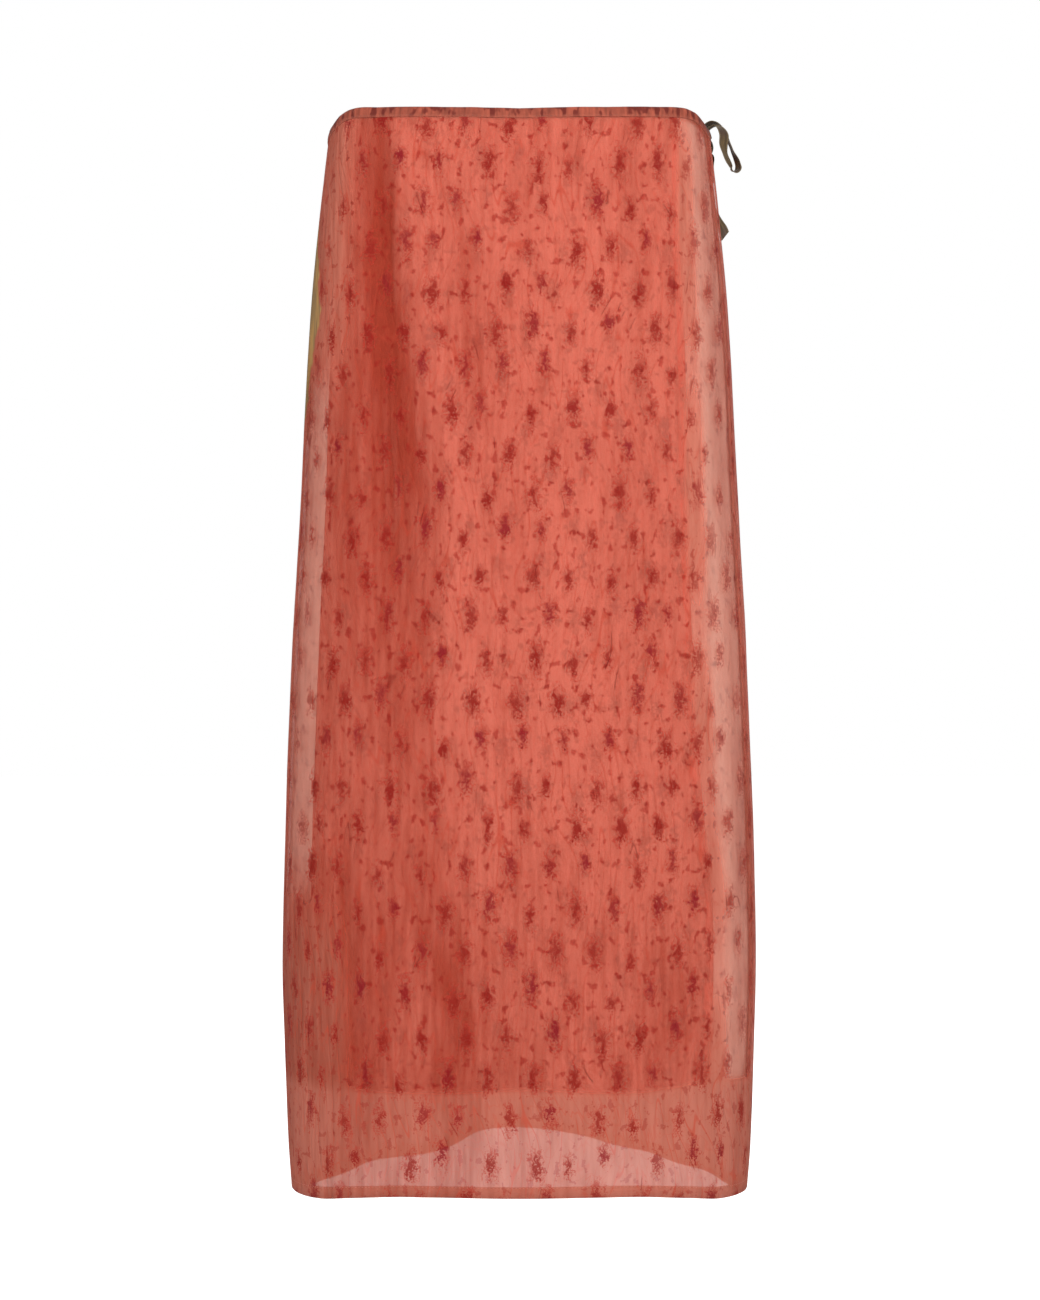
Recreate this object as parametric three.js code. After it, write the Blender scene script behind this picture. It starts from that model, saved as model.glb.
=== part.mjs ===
// Long sheer wrap skirt in its worn, hollow shape. Millimetres, +Z up, front towards -Y.
// The origin is the middle of the waist opening, level with the top of the waistband in front.
import * as THREE from 'three';

// ---- Driving dimensions ----
const LENGTH = 880; // centre front, top of the waistband to the hem
const LINING_LENGTH = 796; // the lining and the under wrap stop here
const WALL = 1.0; // cloth, as a solid wall
const SEAM_GAP = 0.3; // between pieces that are sewn or lie together
const WAISTBAND_HEIGHT = 8;
const HEM_TURN = 9; // folded hem of the outer cloth
const UNDER_TURN = 13; // folded hem of the under wrap
const TURN_RAISE = 0.5; // how far a folded hem stands proud
const TURN_STEP = 1.2; // run of the step up to a folded hem
const RIBBON_WIDTH = 10;
const RIBBON_THICKNESS = 1.2;

// ---- Angles around the waist, in degrees: 0 is centre front, 90 the side with the ties ----
const LEFT_SEAM = -90;
const RIGHT_SEAM = 90;
const WRAP_EDGE = 83; // free edge of the outer front
const WRAP_TURN = 4; // its folded hem
const TUCK_START = 77.5; // the outer back begins here, under the outer front
const TUCK_END = 96; // from here on it lies flush
const UNDER_LEFT_EDGE = -66.6;
const UNDER_RIGHT_EDGE = 61.6;
const UNDER_EDGE_TURN = 3.4;
const COLUMN_STEP = 5;
const TURN_STEP_ANGLE = 0.4;
const SEAM_GAP_ANGLE = 0.1;
const TIE_ANGLE = 99;

// Level sections of the outer cloth: half width, depth to the front and to the back of the
// middle line, and how square each half is, 2 being an ellipse.
const SECTIONS = [
  { drop: 0, halfWidth: 159.6, front: 92, back: 95, squareFront: 2.9, squareBack: 2.7 },
  { drop: 60, halfWidth: 166.9, front: 98, back: 105, squareFront: 2.8, squareBack: 2.6 },
  { drop: 145, halfWidth: 175.2, front: 105, back: 117, squareFront: 2.7, squareBack: 2.5 },
  { drop: 230, halfWidth: 180.6, front: 109, back: 121, squareFront: 2.65, squareBack: 2.5 },
  { drop: 315, halfWidth: 184.6, front: 111, back: 119, squareFront: 2.6, squareBack: 2.5 },
  { drop: 440, halfWidth: 191.7, front: 114, back: 118, squareFront: 2.6, squareBack: 2.5 },
  { drop: 570, halfWidth: 196.9, front: 117, back: 120, squareFront: 2.6, squareBack: 2.5 },
  { drop: 695, halfWidth: 199.7, front: 119, back: 121, squareFront: 2.6, squareBack: 2.5 },
  { drop: 780, halfWidth: 197.6, front: 119, back: 121, squareFront: 2.6, squareBack: 2.55 },
  { drop: 855, halfWidth: 194.9, front: 118, back: 120, squareFront: 2.6, squareBack: 2.6 },
  { drop: 890, halfWidth: 192.2, front: 118, back: 120, squareFront: 2.6, squareBack: 2.6 },
];

// How far the waist edge rises above level, by the angle turned from centre front on either side.
const WAIST_RISES = [
  { angle: 0, rise: 0 },
  { angle: 40, rise: 2 },
  { angle: 55, rise: 4 },
  { angle: 64, rise: 5.8 },
  { angle: 70, rise: 3.6 },
  { angle: 76, rise: -2.4 },
  { angle: 82, rise: -5.4 },
  { angle: 90, rise: -6.2 },
  { angle: 100, rise: -5 },
  { angle: 115, rise: -1 },
  { angle: 128, rise: 1 },
  { angle: 141, rise: 3 },
  { angle: 159, rise: 4 },
  { angle: 180, rise: 4 },
];

// How far the hem dips below level, all the way round: it rides up at centre back and hangs
// lowest behind either side.
const HEM_DIPS = [
  { angle: 0, dip: 0 },
  { angle: 40, dip: 0 },
  { angle: 55, dip: 4 },
  { angle: 64, dip: 8 },
  { angle: 76, dip: 9.5 },
  { angle: 90, dip: 11 },
  { angle: 98, dip: 19 },
  { angle: 104, dip: 25 },
  { angle: 109, dip: 23.5 },
  { angle: 115, dip: 18 },
  { angle: 125, dip: 14 },
  { angle: 133, dip: 6.5 },
  { angle: 139, dip: 4 },
  { angle: 146, dip: 0 },
  { angle: 152, dip: -4.5 },
  { angle: 162, dip: -9 },
  { angle: 173, dip: -12 },
  { angle: 188, dip: -12.5 },
  { angle: 198, dip: -8.5 },
  { angle: 207, dip: 3 },
  { angle: 216, dip: 9.5 },
  { angle: 226, dip: 11.5 },
  { angle: 233, dip: 13.5 },
  { angle: 241, dip: 21.5 },
  { angle: 248, dip: 24 },
  { angle: 255, dip: 24.5 },
  { angle: 262, dip: 19 },
  { angle: 270, dip: 11 },
  { angle: 284, dip: 9.5 },
  { angle: 296, dip: 8 },
  { angle: 305, dip: 4 },
  { angle: 320, dip: 0 },
  { angle: 360, dip: 0 },
];

// How far the free edge of the under wrap wanders round, in degrees by drop.
const UNDER_EDGE_DRIFTS = [
  { drop: 30, drift: 0 },
  { drop: 89, drift: -2.0 },
  { drop: 180, drift: -3.0 },
  { drop: 276, drift: -3.4 },
  { drop: 429, drift: -3.9 },
  { drop: 480, drift: -3.4 },
  { drop: 552, drift: -2.6 },
  { drop: 604, drift: -1.2 },
  { drop: 653, drift: 0 },
  { drop: 720, drift: -0.2 },
  { drop: 796, drift: -0.5 },
];
const DRIFT_START = 42; // the columns of the under wrap drift from this angle on, fully from the next
const DRIFT_FULL = 57;

// How far the lining and the under wrap hang lower than level, at their hem.
const LINING_SAGS = [
  { angle: -90, sag: 0 },
  { angle: -76, sag: 0 },
  { angle: -60, sag: 0.5 },
  { angle: -45, sag: 2.5 },
  { angle: -28, sag: 3 },
  { angle: -12, sag: 1 },
  { angle: 0, sag: 0.3 },
  { angle: 15, sag: 1 },
  { angle: 28, sag: 2.6 },
  { angle: 42, sag: 2.6 },
  { angle: 51, sag: -1 },
  { angle: 60, sag: -5.5 },
  { angle: 72, sag: -4 },
  { angle: 90, sag: 0 },
];

// The largest folds. A fold runs from x at the waist line to foot at the hem line, shows between
// two drops, and stands out by height, or in where that is negative.
const FRONT_FOLDS = [
  { x: -118, foot: -100, start: -80, end: 500, width: 15, height: -5 },
  { x: -90, foot: 6, start: 10, end: 740, width: 20, height: 3.5 },
  { x: -34, foot: -20, start: 30, end: 460, width: 14, height: -1.6 },
  { x: 98, foot: 116, start: -40, end: 280, width: 12, height: -1.6 },
  { x: 110, foot: 126, start: 600, end: 800, width: 17, height: -2 },
];
const BACK_FOLDS = [
  { x: -84, foot: -104, start: 40, end: 620, width: 16, height: -4 },
  { x: -48, foot: -58, start: 120, end: 800, width: 18, height: 3 },
  { x: 22, foot: 40, start: 180, end: 900, width: 17, height: -3 },
  { x: 66, foot: 88, start: 10, end: 560, width: 15, height: 2.5 },
  { x: 108, foot: 122, start: -20, end: 480, width: 13, height: -3 },
];

// Each layer's outer face, measured outwards from the outer cloth: at the waistband, and where
// the layer hangs free.
const LAYERS = {
  outer: { waist: 0, hanging: 0 },
  under: { waist: -2.0, hanging: -2.6 },
  lining: { waist: -3.7, hanging: -4.8 },
};
const FREE_DROP = 90; // the layers have parted by this drop
const TUCK_DEPTH = -1.45;

// ---- Form of the skirt ----
function readTable(rows, key, column, at) {
  const last = rows.length - 1;
  if (at <= rows[0][key]) return rows[0][column];
  if (at >= rows[last][key]) return rows[last][column];
  const i = rows.findIndex((row) => row[key] > at) - 1;
  const slope = (j) => {
    const before = rows[Math.max(j - 1, 0)];
    const after = rows[Math.min(j + 1, last)];
    return (after[column] - before[column]) / (after[key] - before[key]);
  };
  const span = rows[i + 1][key] - rows[i][key];
  const t = (at - rows[i][key]) / span;
  const rest = 1 - t;
  return rows[i][column] * (1 + 2 * t) * rest * rest
    + rows[i + 1][column] * (3 - 2 * t) * t * t
    + (slope(i) * rest - slope(i + 1) * t) * t * rest * span;
}

function smooth(from, to, at) {
  return THREE.MathUtils.smoothstep(at, from, to);
}

// Distance from the front along the ring, 0 to 180 on either side.
function turnedAngle(angle) {
  return Math.abs(THREE.MathUtils.euclideanModulo(angle + 180, 360) - 180);
}

// Point of a level section in plan, from a superellipse for the front half and one for the back.
function sectionPoint(angle, drop) {
  const radians = THREE.MathUtils.degToRad(angle);
  const side = Math.sin(radians);
  const forward = Math.cos(radians);
  const half = forward >= 0 ? 'front' : 'back';
  const square = readTable(SECTIONS, 'drop', forward >= 0 ? 'squareFront' : 'squareBack', drop);
  const width = readTable(SECTIONS, 'drop', 'halfWidth', drop);
  const depth = readTable(SECTIONS, 'drop', half, drop);
  const reach = (Math.abs(side / width) ** square + Math.abs(forward / depth) ** square) ** (-1 / square);
  return new THREE.Vector2(reach * side, -reach * forward);
}

function sectionNormal(angle, drop) {
  const step = 0.5;
  const along = sectionPoint(angle + step, drop).sub(sectionPoint(angle - step, drop)).normalize();
  return new THREE.Vector2(along.y, -along.x);
}

function foldHeight(plan, drop) {
  const folds = plan.y < 0 ? FRONT_FOLDS : BACK_FOLDS;
  let height = 0;
  for (const fold of folds) {
    const middle = THREE.MathUtils.lerp(fold.x, fold.foot, drop / LENGTH);
    const across = (plan.x - middle) / fold.width;
    const ease = (fold.end - fold.start) * 0.35;
    const along = smooth(fold.start, fold.start + ease, drop) * (1 - smooth(fold.end - ease, fold.end, drop));
    height += fold.height * along * Math.exp(-across * across);
  }
  const width = readTable(SECTIONS, 'drop', 'halfWidth', drop);
  return height * (1 - smooth(0.8, 0.97, Math.abs(plan.x) / width));
}

// Height of a point that lies a share of the way from the waist edge to the hem.
function levelAt(angle, share) {
  const round = THREE.MathUtils.euclideanModulo(angle, 360);
  const rise = readTable(WAIST_RISES, 'angle', 'rise', turnedAngle(angle)) * (1 - share) ** 8;
  const dip = readTable(HEM_DIPS, 'angle', 'dip', round) * share ** 8;
  const fromFront = THREE.MathUtils.euclideanModulo(angle + 180, 360) - 180;
  const atLiningHem = smooth(0.55, 0.87, share) * (1 - smooth(0.9, 0.985, share));
  const sag = readTable(LINING_SAGS, 'angle', 'sag', fromFront) * atLiningHem;
  return rise - LENGTH * share - dip - sag;
}

// Point on the skirt, moved outwards by out.
function skirtPoint(angle, share, out) {
  const level = levelAt(angle, share);
  const drop = Math.max(-level, 0);
  const plan = sectionPoint(angle, drop);
  const reach = out + foldHeight(plan, drop);
  plan.addScaledVector(sectionNormal(angle, drop), reach);
  return new THREE.Vector3(plan.x, plan.y, level);
}

// ---- Makers of closed walls ----

// Closes a grid of outer and inner points, rows[i][j] = { outer, inner }, into one body.
function wallGeometry(rows) {
  const rowCount = rows.length;
  const columnCount = rows[0].length;
  const positions = [];
  for (const face of ['outer', 'inner']) {
    for (const row of rows) {
      for (const point of row) positions.push(...point[face].toArray());
    }
  }
  const inside = rowCount * columnCount;
  const outer = (i, j) => i * columnCount + j;
  const inner = (i, j) => inside + outer(i, j);
  const index = [];
  const quad = (a, b, c, d) => index.push(a, b, c, a, c, d);
  for (let i = 0; i < rowCount - 1; i += 1) {
    for (let j = 0; j < columnCount - 1; j += 1) {
      quad(outer(i, j), outer(i + 1, j), outer(i + 1, j + 1), outer(i, j + 1));
      quad(inner(i, j), inner(i, j + 1), inner(i + 1, j + 1), inner(i + 1, j));
    }
    const end = columnCount - 1;
    quad(outer(i, 0), inner(i, 0), inner(i + 1, 0), outer(i + 1, 0));
    quad(outer(i, end), outer(i + 1, end), inner(i + 1, end), inner(i, end));
  }
  const foot = rowCount - 1;
  for (let j = 0; j < columnCount - 1; j += 1) {
    quad(outer(0, j), outer(0, j + 1), inner(0, j + 1), inner(0, j));
    quad(outer(foot, j), inner(foot, j), inner(foot, j + 1), outer(foot, j + 1));
  }
  return closedGeometry(positions, index);
}

function closedGeometry(positions, index) {
  const geometry = new THREE.BufferGeometry();
  geometry.setAttribute('position', new THREE.Float32BufferAttribute(positions, 3));
  geometry.setIndex(index);
  geometry.computeVertexNormals();
  return geometry;
}

// Every layer shares these columns, so that its facets nest in its neighbours'.
const CUT_ANGLES = [
  UNDER_LEFT_EDGE,
  UNDER_RIGHT_EDGE - UNDER_EDGE_TURN - TURN_STEP_ANGLE,
  UNDER_RIGHT_EDGE - UNDER_EDGE_TURN,
  UNDER_RIGHT_EDGE,
  TUCK_START,
  WRAP_EDGE - WRAP_TURN - TURN_STEP_ANGLE,
  WRAP_EDGE - WRAP_TURN,
  WRAP_EDGE,
];

function columnAngles(from, to) {
  const clearance = 1.2;
  const cuts = [...CUT_ANGLES, from, to].filter((angle) => angle >= from && angle <= to);
  const angles = [...cuts];
  for (let angle = Math.ceil(from / COLUMN_STEP) * COLUMN_STEP; angle <= to; angle += COLUMN_STEP) {
    if (cuts.every((cut) => Math.abs(cut - angle) > clearance)) angles.push(angle);
  }
  return [...new Set(angles)].sort((a, b) => a - b);
}

// Shares of the length at which a panel has rows, closer together near the waist, with a step
// up to its folded hem. Every panel shares them, and a sparse one skips every other row lower down.
const ROW_COUNT = 15;
const DENSE_ROWS = 5;

function rowShares(length, turn, sparse) {
  const topShare = (WAISTBAND_HEIGHT + SEAM_GAP) / LENGTH;
  const footShare = length / LENGTH;
  const lastPlain = footShare - (turn > 0 ? turn + TURN_STEP : 0) / LENGTH;
  const closest = 0.2 / ROW_COUNT;
  const shares = [];
  for (let i = 0; i < ROW_COUNT; i += 1) {
    const share = topShare + (1 - topShare) * (i / ROW_COUNT) ** 1.2;
    const kept = !sparse || i < DENSE_ROWS || i % 2 === 0;
    if (kept && share < lastPlain - closest) shares.push(share);
  }
  if (turn > 0) shares.push(lastPlain, footShare - turn / LENGTH);
  shares.push(footShare);
  return shares;
}

// One panel of cloth. turn is the height of its folded hem, edgeTurn the angle where the fold of
// its free edge begins, tuck a function that moves it inwards, and drift one that moves it round.
function panelGeometry({
  from, to, length, layer, turn = 0, edgeTurn = Infinity, tuck = () => 0, drift = () => 0, sparse = false,
}) {
  const angles = columnAngles(from, to);
  const shares = rowShares(length, turn, sparse);
  const turnShare = (length - turn) / LENGTH;
  const slack = 1e-6;
  return wallGeometry(shares.map((share) => angles.map((angle) => {
    const parted = smooth(0, FREE_DROP, share * LENGTH);
    const face = THREE.MathUtils.lerp(layer.waist, layer.hanging, parted) + tuck(angle);
    const turned = turn > 0 && share > turnShare - slack;
    const raised = turned || angle > edgeTurn - slack;
    const place = angle + drift(angle, share);
    return {
      outer: skirtPoint(place, share, face + (raised ? TURN_RAISE : 0)),
      inner: skirtPoint(place, share, face - WALL),
    };
  })));
}

// Cross-section of the waistband: share of its height from the top, and how far out it stands.
const WAISTBAND_OUTSIDE = [
  { share: 0, out: -2.2 },
  { share: 0.08, out: 0.1 },
  { share: 0.5, out: 0.6 },
  { share: 1, out: 0.3 },
];
const WAISTBAND_INSIDE = -5.0;

// The binding that closes over the tops of all the layers.
function waistbandGeometry(from, to) {
  const angles = columnAngles(from, to);
  const bandShare = WAISTBAND_HEIGHT / LENGTH;
  return wallGeometry(WAISTBAND_OUTSIDE.map((line, i) => angles.map((angle) => ({
    outer: skirtPoint(angle, line.share * bandShare, line.out),
    inner: skirtPoint(angle, line.share * bandShare, i === 0 ? WAISTBAND_OUTSIDE[0].out - 0.8 : WAISTBAND_INSIDE),
  }))));
}

// A flat ribbon along a table of stations, each with its place from the knot, the direction of
// its width, and how wide it is there.
function ribbonGeometry(knot, stations, steps) {
  const path = new THREE.CatmullRomCurve3(stations.map((s) => new THREE.Vector3(s.x, s.y, s.z).add(knot)));
  const widths = new THREE.CatmullRomCurve3(
    stations.map((s) => new THREE.Vector3(s.wx, s.wy, s.wz).normalize().multiplyScalar(s.width)),
  );
  const rows = [];
  for (let i = 0; i <= steps; i += 1) {
    const t = i / steps;
    const centre = path.getPoint(t);
    const along = path.getTangent(t);
    const across = widths.getPoint(t);
    const width = across.length();
    const face = new THREE.Vector3().crossVectors(across, along).normalize();
    across.crossVectors(along, face).normalize();
    const row = [];
    for (const side of [0.5, -0.5]) {
      const edge = centre.clone().addScaledVector(across, side * width);
      row.push({
        outer: edge.clone().addScaledVector(face, RIBBON_THICKNESS / 2),
        inner: edge.clone().addScaledVector(face, -RIBBON_THICKNESS / 2),
      });
    }
    rows.push(row);
  }
  return wallGeometry(rows);
}

const FULL = RIBBON_WIDTH;
// The loop that stands out beside the waist, falls and comes back.
const FRONT_LOOP = [
  { x: -1.3, y: -4.4, z: 4, wx: 0.1, wy: 0.3, wz: 1, width: 5 },
  { x: -3.6, y: -12.5, z: 10.2, wx: 0.1, wy: 0.25, wz: 1, width: 8 },
  { x: 0.6, y: -20.5, z: 13.4, wx: 0.3, wy: 0.9, wz: 0.4, width: FULL },
  { x: 5.6, y: -28.5, z: 12.6, wx: 0.7, wy: 0.7, wz: 0, width: FULL },
  { x: 9.6, y: -33.6, z: 5, wx: 0.8, wy: 0.6, wz: 0.1, width: FULL },
  { x: 9, y: -36, z: -4.6, wx: 0.72, wy: 0.68, wz: 0, width: FULL },
  { x: 10, y: -37.2, z: -11.5, wx: 0.5, wy: 0.85, wz: 0.1, width: 9.4 },
  { x: 13.2, y: -37.2, z: -19, wx: 0.42, wy: 0.85, wz: 0.3, width: 9.4 },
  { x: 17.4, y: -34.4, z: -25.4, wx: 0.1, wy: 0.9, wz: 0.35, width: FULL },
  { x: 21.4, y: -29.6, z: -24.2, wx: -0.3, wy: 0.92, wz: 0.15, width: FULL },
  { x: 22, y: -26.4, z: -18.4, wx: -0.3, wy: 0.94, wz: 0, width: FULL },
  { x: 18.6, y: -23.8, z: -9.5, wx: -0.12, wy: 0.98, wz: 0, width: FULL },
  { x: 15.4, y: -21.6, z: -0.5, wx: -0.1, wy: 0.98, wz: 0, width: FULL },
  { x: 11.2, y: -19.4, z: 9.2, wx: -0.1, wy: 0.98, wz: -0.05, width: FULL },
  { x: 6.4, y: -17.4, z: 15.4, wx: -0.1, wy: 0.98, wz: -0.1, width: FULL },
  { x: 1.2, y: -14, z: 17.9, wx: 0, wy: 0.98, wz: -0.2, width: FULL },
  { x: -2.8, y: -8.6, z: 15.6, wx: 0.2, wy: 0.9, wz: -0.4, width: 8 },
  { x: -0.6, y: -1.6, z: 7.2, wx: 0.9, wy: 0.1, wz: -0.2, width: 5 },
];
// The second loop lies behind it, against the side of the back.
const BACK_LOOP = [
  { x: 0.0, y: 5.8, z: 2.6, wx: 0, wy: 0.3, wz: 1, width: 5 },
  { x: 0.4, y: 13.0, z: 5.5, wx: 0, wy: 0.2, wz: 1, width: 9 },
  { x: -0.6, y: 22.0, z: 2.5, wx: -0.3, wy: 0.6, wz: 0.7, width: FULL },
  { x: -2.6, y: 29.0, z: -8.0, wx: -0.4, wy: 0.9, wz: 0.2, width: FULL },
  { x: -2.2, y: 31.5, z: -22.0, wx: -0.4, wy: 0.95, wz: 0, width: FULL },
  { x: 1.8, y: 31.0, z: -29.0, wx: -0.4, wy: 0.95, wz: 0, width: FULL },
  { x: 4.4, y: 27.0, z: -20.0, wx: -0.3, wy: 0.95, wz: 0.1, width: FULL },
  { x: 2.6, y: 19.5, z: -7.5, wx: -0.2, wy: 0.9, wz: 0.4, width: FULL },
  { x: 1.4, y: 12.0, z: -3.5, wx: 0, wy: 0.4, wz: 1, width: 7 },
  { x: 0.5, y: 5.8, z: -2.8, wx: 0, wy: 0.3, wz: 1, width: 5 },
];
// One end kicks out past the side and is cut aslant, the other hangs behind it.
const FRONT_TAIL = [
  { x: 0.8, y: -2.8, z: -7.1, wx: -0.5, wy: 1, wz: 0, width: 5 },
  { x: 2.8, y: -7, z: -10.6, wx: -0.2, wy: 1, wz: 0, width: 6 },
  { x: 2.5, y: -6, z: -17, wx: -0.1, wy: 1, wz: 0, width: 7 },
  { x: 2.3, y: -2.4, z: -25, wx: 0, wy: 1, wz: 0, width: 8.4 },
  { x: 2.6, y: 0, z: -36, wx: 0, wy: 1, wz: 0, width: 9.4 },
  { x: 4.2, y: 0.6, z: -48, wx: 0.1, wy: 1, wz: 0.05, width: FULL },
  { x: 7.4, y: 0.8, z: -59, wx: 0.4, wy: 0.85, wz: 0.2, width: FULL },
  { x: 11, y: 0.2, z: -69, wx: 0.72, wy: 0.5, wz: 0.35, width: FULL },
  { x: 13.6, y: -0.6, z: -76, wx: 0.8, wy: 0.3, wz: 0.5, width: 9.4 },
];
const BACK_TAIL = [
  { x: -0.3, y: 3.4, z: -6.3, wx: -0.1, wy: 1, wz: 0.2, width: 4.5 },
  { x: 0.8, y: 9.5, z: -24.0, wx: -0.2, wy: 1, wz: 0.1, width: 7 },
  { x: 3.0, y: 15.0, z: -52.0, wx: -0.2, wy: 1, wz: 0, width: FULL },
  { x: 6.0, y: 16.0, z: -80.0, wx: -0.1, wy: 1, wz: 0, width: FULL },
  { x: 9.0, y: 16.5, z: -104.0, wx: 0, wy: 1, wz: 0.15, width: FULL },
];

const KNOT_SIZE = new THREE.Vector3(5.6, 11.5, 13);

function knotCentre() {
  const share = WAISTBAND_HEIGHT / 2 / LENGTH;
  return skirtPoint(TIE_ANGLE, share, KNOT_SIZE.x / 2 + 1.3);
}

function knotGeometry(centre) {
  const geometry = new THREE.SphereGeometry(0.5, 14, 10);
  geometry.scale(KNOT_SIZE.x, KNOT_SIZE.y, KNOT_SIZE.z);
  geometry.translate(centre.x, centre.y, centre.z);
  return geometry;
}

// ---- Cloths ----
function cloth(name, color, roughness) {
  return new THREE.MeshStandardMaterial({ name, color, roughness, metalness: 0, side: THREE.DoubleSide });
}

const SHEER_PRINT = cloth('sheer print', 0xc9705c, 0.6);
const UNDER_PRINT = cloth('under print', 0xc4604c, 0.6);
const LINING = cloth('lining', 0xe0a48e, 0.7);
const BAND = cloth('waistband', 0x9e5243, 0.7);
const RIBBON = cloth('ribbon', 0x7e6850, 0.6);

// ---- The skirt ----
const skirt = new THREE.Group();

function addPiece(name, geometry, material) {
  const mesh = new THREE.Mesh(geometry, material);
  mesh.name = name;
  skirt.add(mesh);
}

addPiece('outer_front', panelGeometry({
  from: LEFT_SEAM + SEAM_GAP_ANGLE,
  to: WRAP_EDGE,
  length: LENGTH,
  layer: LAYERS.outer,
  turn: HEM_TURN,
  edgeTurn: WRAP_EDGE - WRAP_TURN,
}), SHEER_PRINT);

addPiece('outer_back', panelGeometry({
  from: TUCK_START,
  to: LEFT_SEAM + 360,
  length: LENGTH,
  layer: LAYERS.outer,
  turn: HEM_TURN,
  tuck: (angle) => (TUCK_DEPTH - TURN_RAISE) * (1 - smooth(WRAP_EDGE + 1, TUCK_END, angle)),
}), SHEER_PRINT);

addPiece('under_front', panelGeometry({
  from: UNDER_LEFT_EDGE,
  to: UNDER_RIGHT_EDGE,
  length: LINING_LENGTH,
  layer: LAYERS.under,
  turn: UNDER_TURN,
  edgeTurn: UNDER_RIGHT_EDGE - UNDER_EDGE_TURN,
  drift: (angle, share) => readTable(UNDER_EDGE_DRIFTS, 'drop', 'drift', share * LENGTH)
    * smooth(DRIFT_START, DRIFT_FULL, angle),
}), UNDER_PRINT);

for (const [name, from, to] of [
  ['lining_front', LEFT_SEAM, RIGHT_SEAM],
  ['lining_back', RIGHT_SEAM, LEFT_SEAM + 360],
]) {
  addPiece(name, panelGeometry({
    from: from + SEAM_GAP_ANGLE,
    to: to - SEAM_GAP_ANGLE,
    length: LINING_LENGTH,
    layer: LAYERS.lining,
    sparse: true,
  }), LINING);
}

addPiece('waistband_front', waistbandGeometry(LEFT_SEAM + SEAM_GAP_ANGLE, RIGHT_SEAM), BAND);
addPiece('waistband_back', waistbandGeometry(RIGHT_SEAM + SEAM_GAP_ANGLE, LEFT_SEAM + 360), BAND);

const knot = knotCentre();
addPiece('tie_knot', knotGeometry(knot), RIBBON);
addPiece('tie_loop_front', ribbonGeometry(knot, FRONT_LOOP, 44), RIBBON);
addPiece('tie_loop_back', ribbonGeometry(knot, BACK_LOOP, 30), RIBBON);
addPiece('tie_tail_front', ribbonGeometry(knot, FRONT_TAIL, 24), RIBBON);
addPiece('tie_tail_back', ribbonGeometry(knot, BACK_TAIL, 14), RIBBON);

export default skirt;
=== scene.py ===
import math
from collections import namedtuple

import bpy
import numpy as np
from bpy.props import BoolProperty, FloatProperty, FloatVectorProperty, IntProperty, PointerProperty
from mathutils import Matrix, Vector


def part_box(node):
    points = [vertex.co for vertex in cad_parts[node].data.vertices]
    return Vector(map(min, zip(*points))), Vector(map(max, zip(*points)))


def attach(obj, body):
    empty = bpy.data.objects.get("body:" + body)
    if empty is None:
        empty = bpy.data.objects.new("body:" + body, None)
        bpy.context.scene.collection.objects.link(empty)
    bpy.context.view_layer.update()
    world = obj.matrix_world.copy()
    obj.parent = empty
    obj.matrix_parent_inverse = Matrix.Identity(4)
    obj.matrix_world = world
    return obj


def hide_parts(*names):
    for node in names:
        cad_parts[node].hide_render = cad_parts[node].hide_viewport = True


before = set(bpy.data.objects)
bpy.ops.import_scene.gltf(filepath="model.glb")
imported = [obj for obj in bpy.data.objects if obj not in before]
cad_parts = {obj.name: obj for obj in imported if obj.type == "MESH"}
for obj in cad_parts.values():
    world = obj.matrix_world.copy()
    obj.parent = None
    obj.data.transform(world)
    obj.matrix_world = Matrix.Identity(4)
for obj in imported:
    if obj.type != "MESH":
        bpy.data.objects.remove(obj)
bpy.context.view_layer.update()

bl_info = {
    "name": "Sheer Wrap Skirt",
    "version": (1, 0, 0),
    "blender": (4, 5, 0),
    "location": "View3D > Sidebar > Skirt",
    "description": "Long sheer wrap skirt over an under wrap and a lining, with a ribbon bow",
    "category": "Object",
}

BODY = "root"

# ---- Sizes in metres, heights from the top of the waistband at centre front ----
SIDE_DIP = 0.011
LENGTH = -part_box("outer_front")[0][2] - SIDE_DIP
LINING_LENGTH = 0.796
BAND_HEIGHT = 0.008
HEM_TURN = 0.009
UNDER_TURN = 0.013
LINING_TURN = 0.008
PLY_GAP = 0.0008
RIBBON_THICKNESS = 0.0004
FREE_DROP = 0.09
TUCK_DEPTH = 0.00195
BAND_RECESS = 0.0006

# ---- Angles round the waist in degrees: 0 is centre front, 90 the side with the ties ----
LEFT_SEAM = -90.0
RIGHT_SEAM = 90.0
WRAP_EDGE = 83.0
WRAP_TURN = 4.0
TUCK_START = 77.5
TUCK_END = 96.0
UNDER_LEFT_EDGE = -66.6
UNDER_RIGHT_EDGE = 61.6
UNDER_EDGE_TURN = 3.4
SEAM_TURN_ANGLE = 2.2
SEAM_CLEARANCE = 0.04


def rows(kind, *values):
    """A table as a list of named tuples, one for each row of values."""
    return [kind(*row) for row in values]


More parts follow.
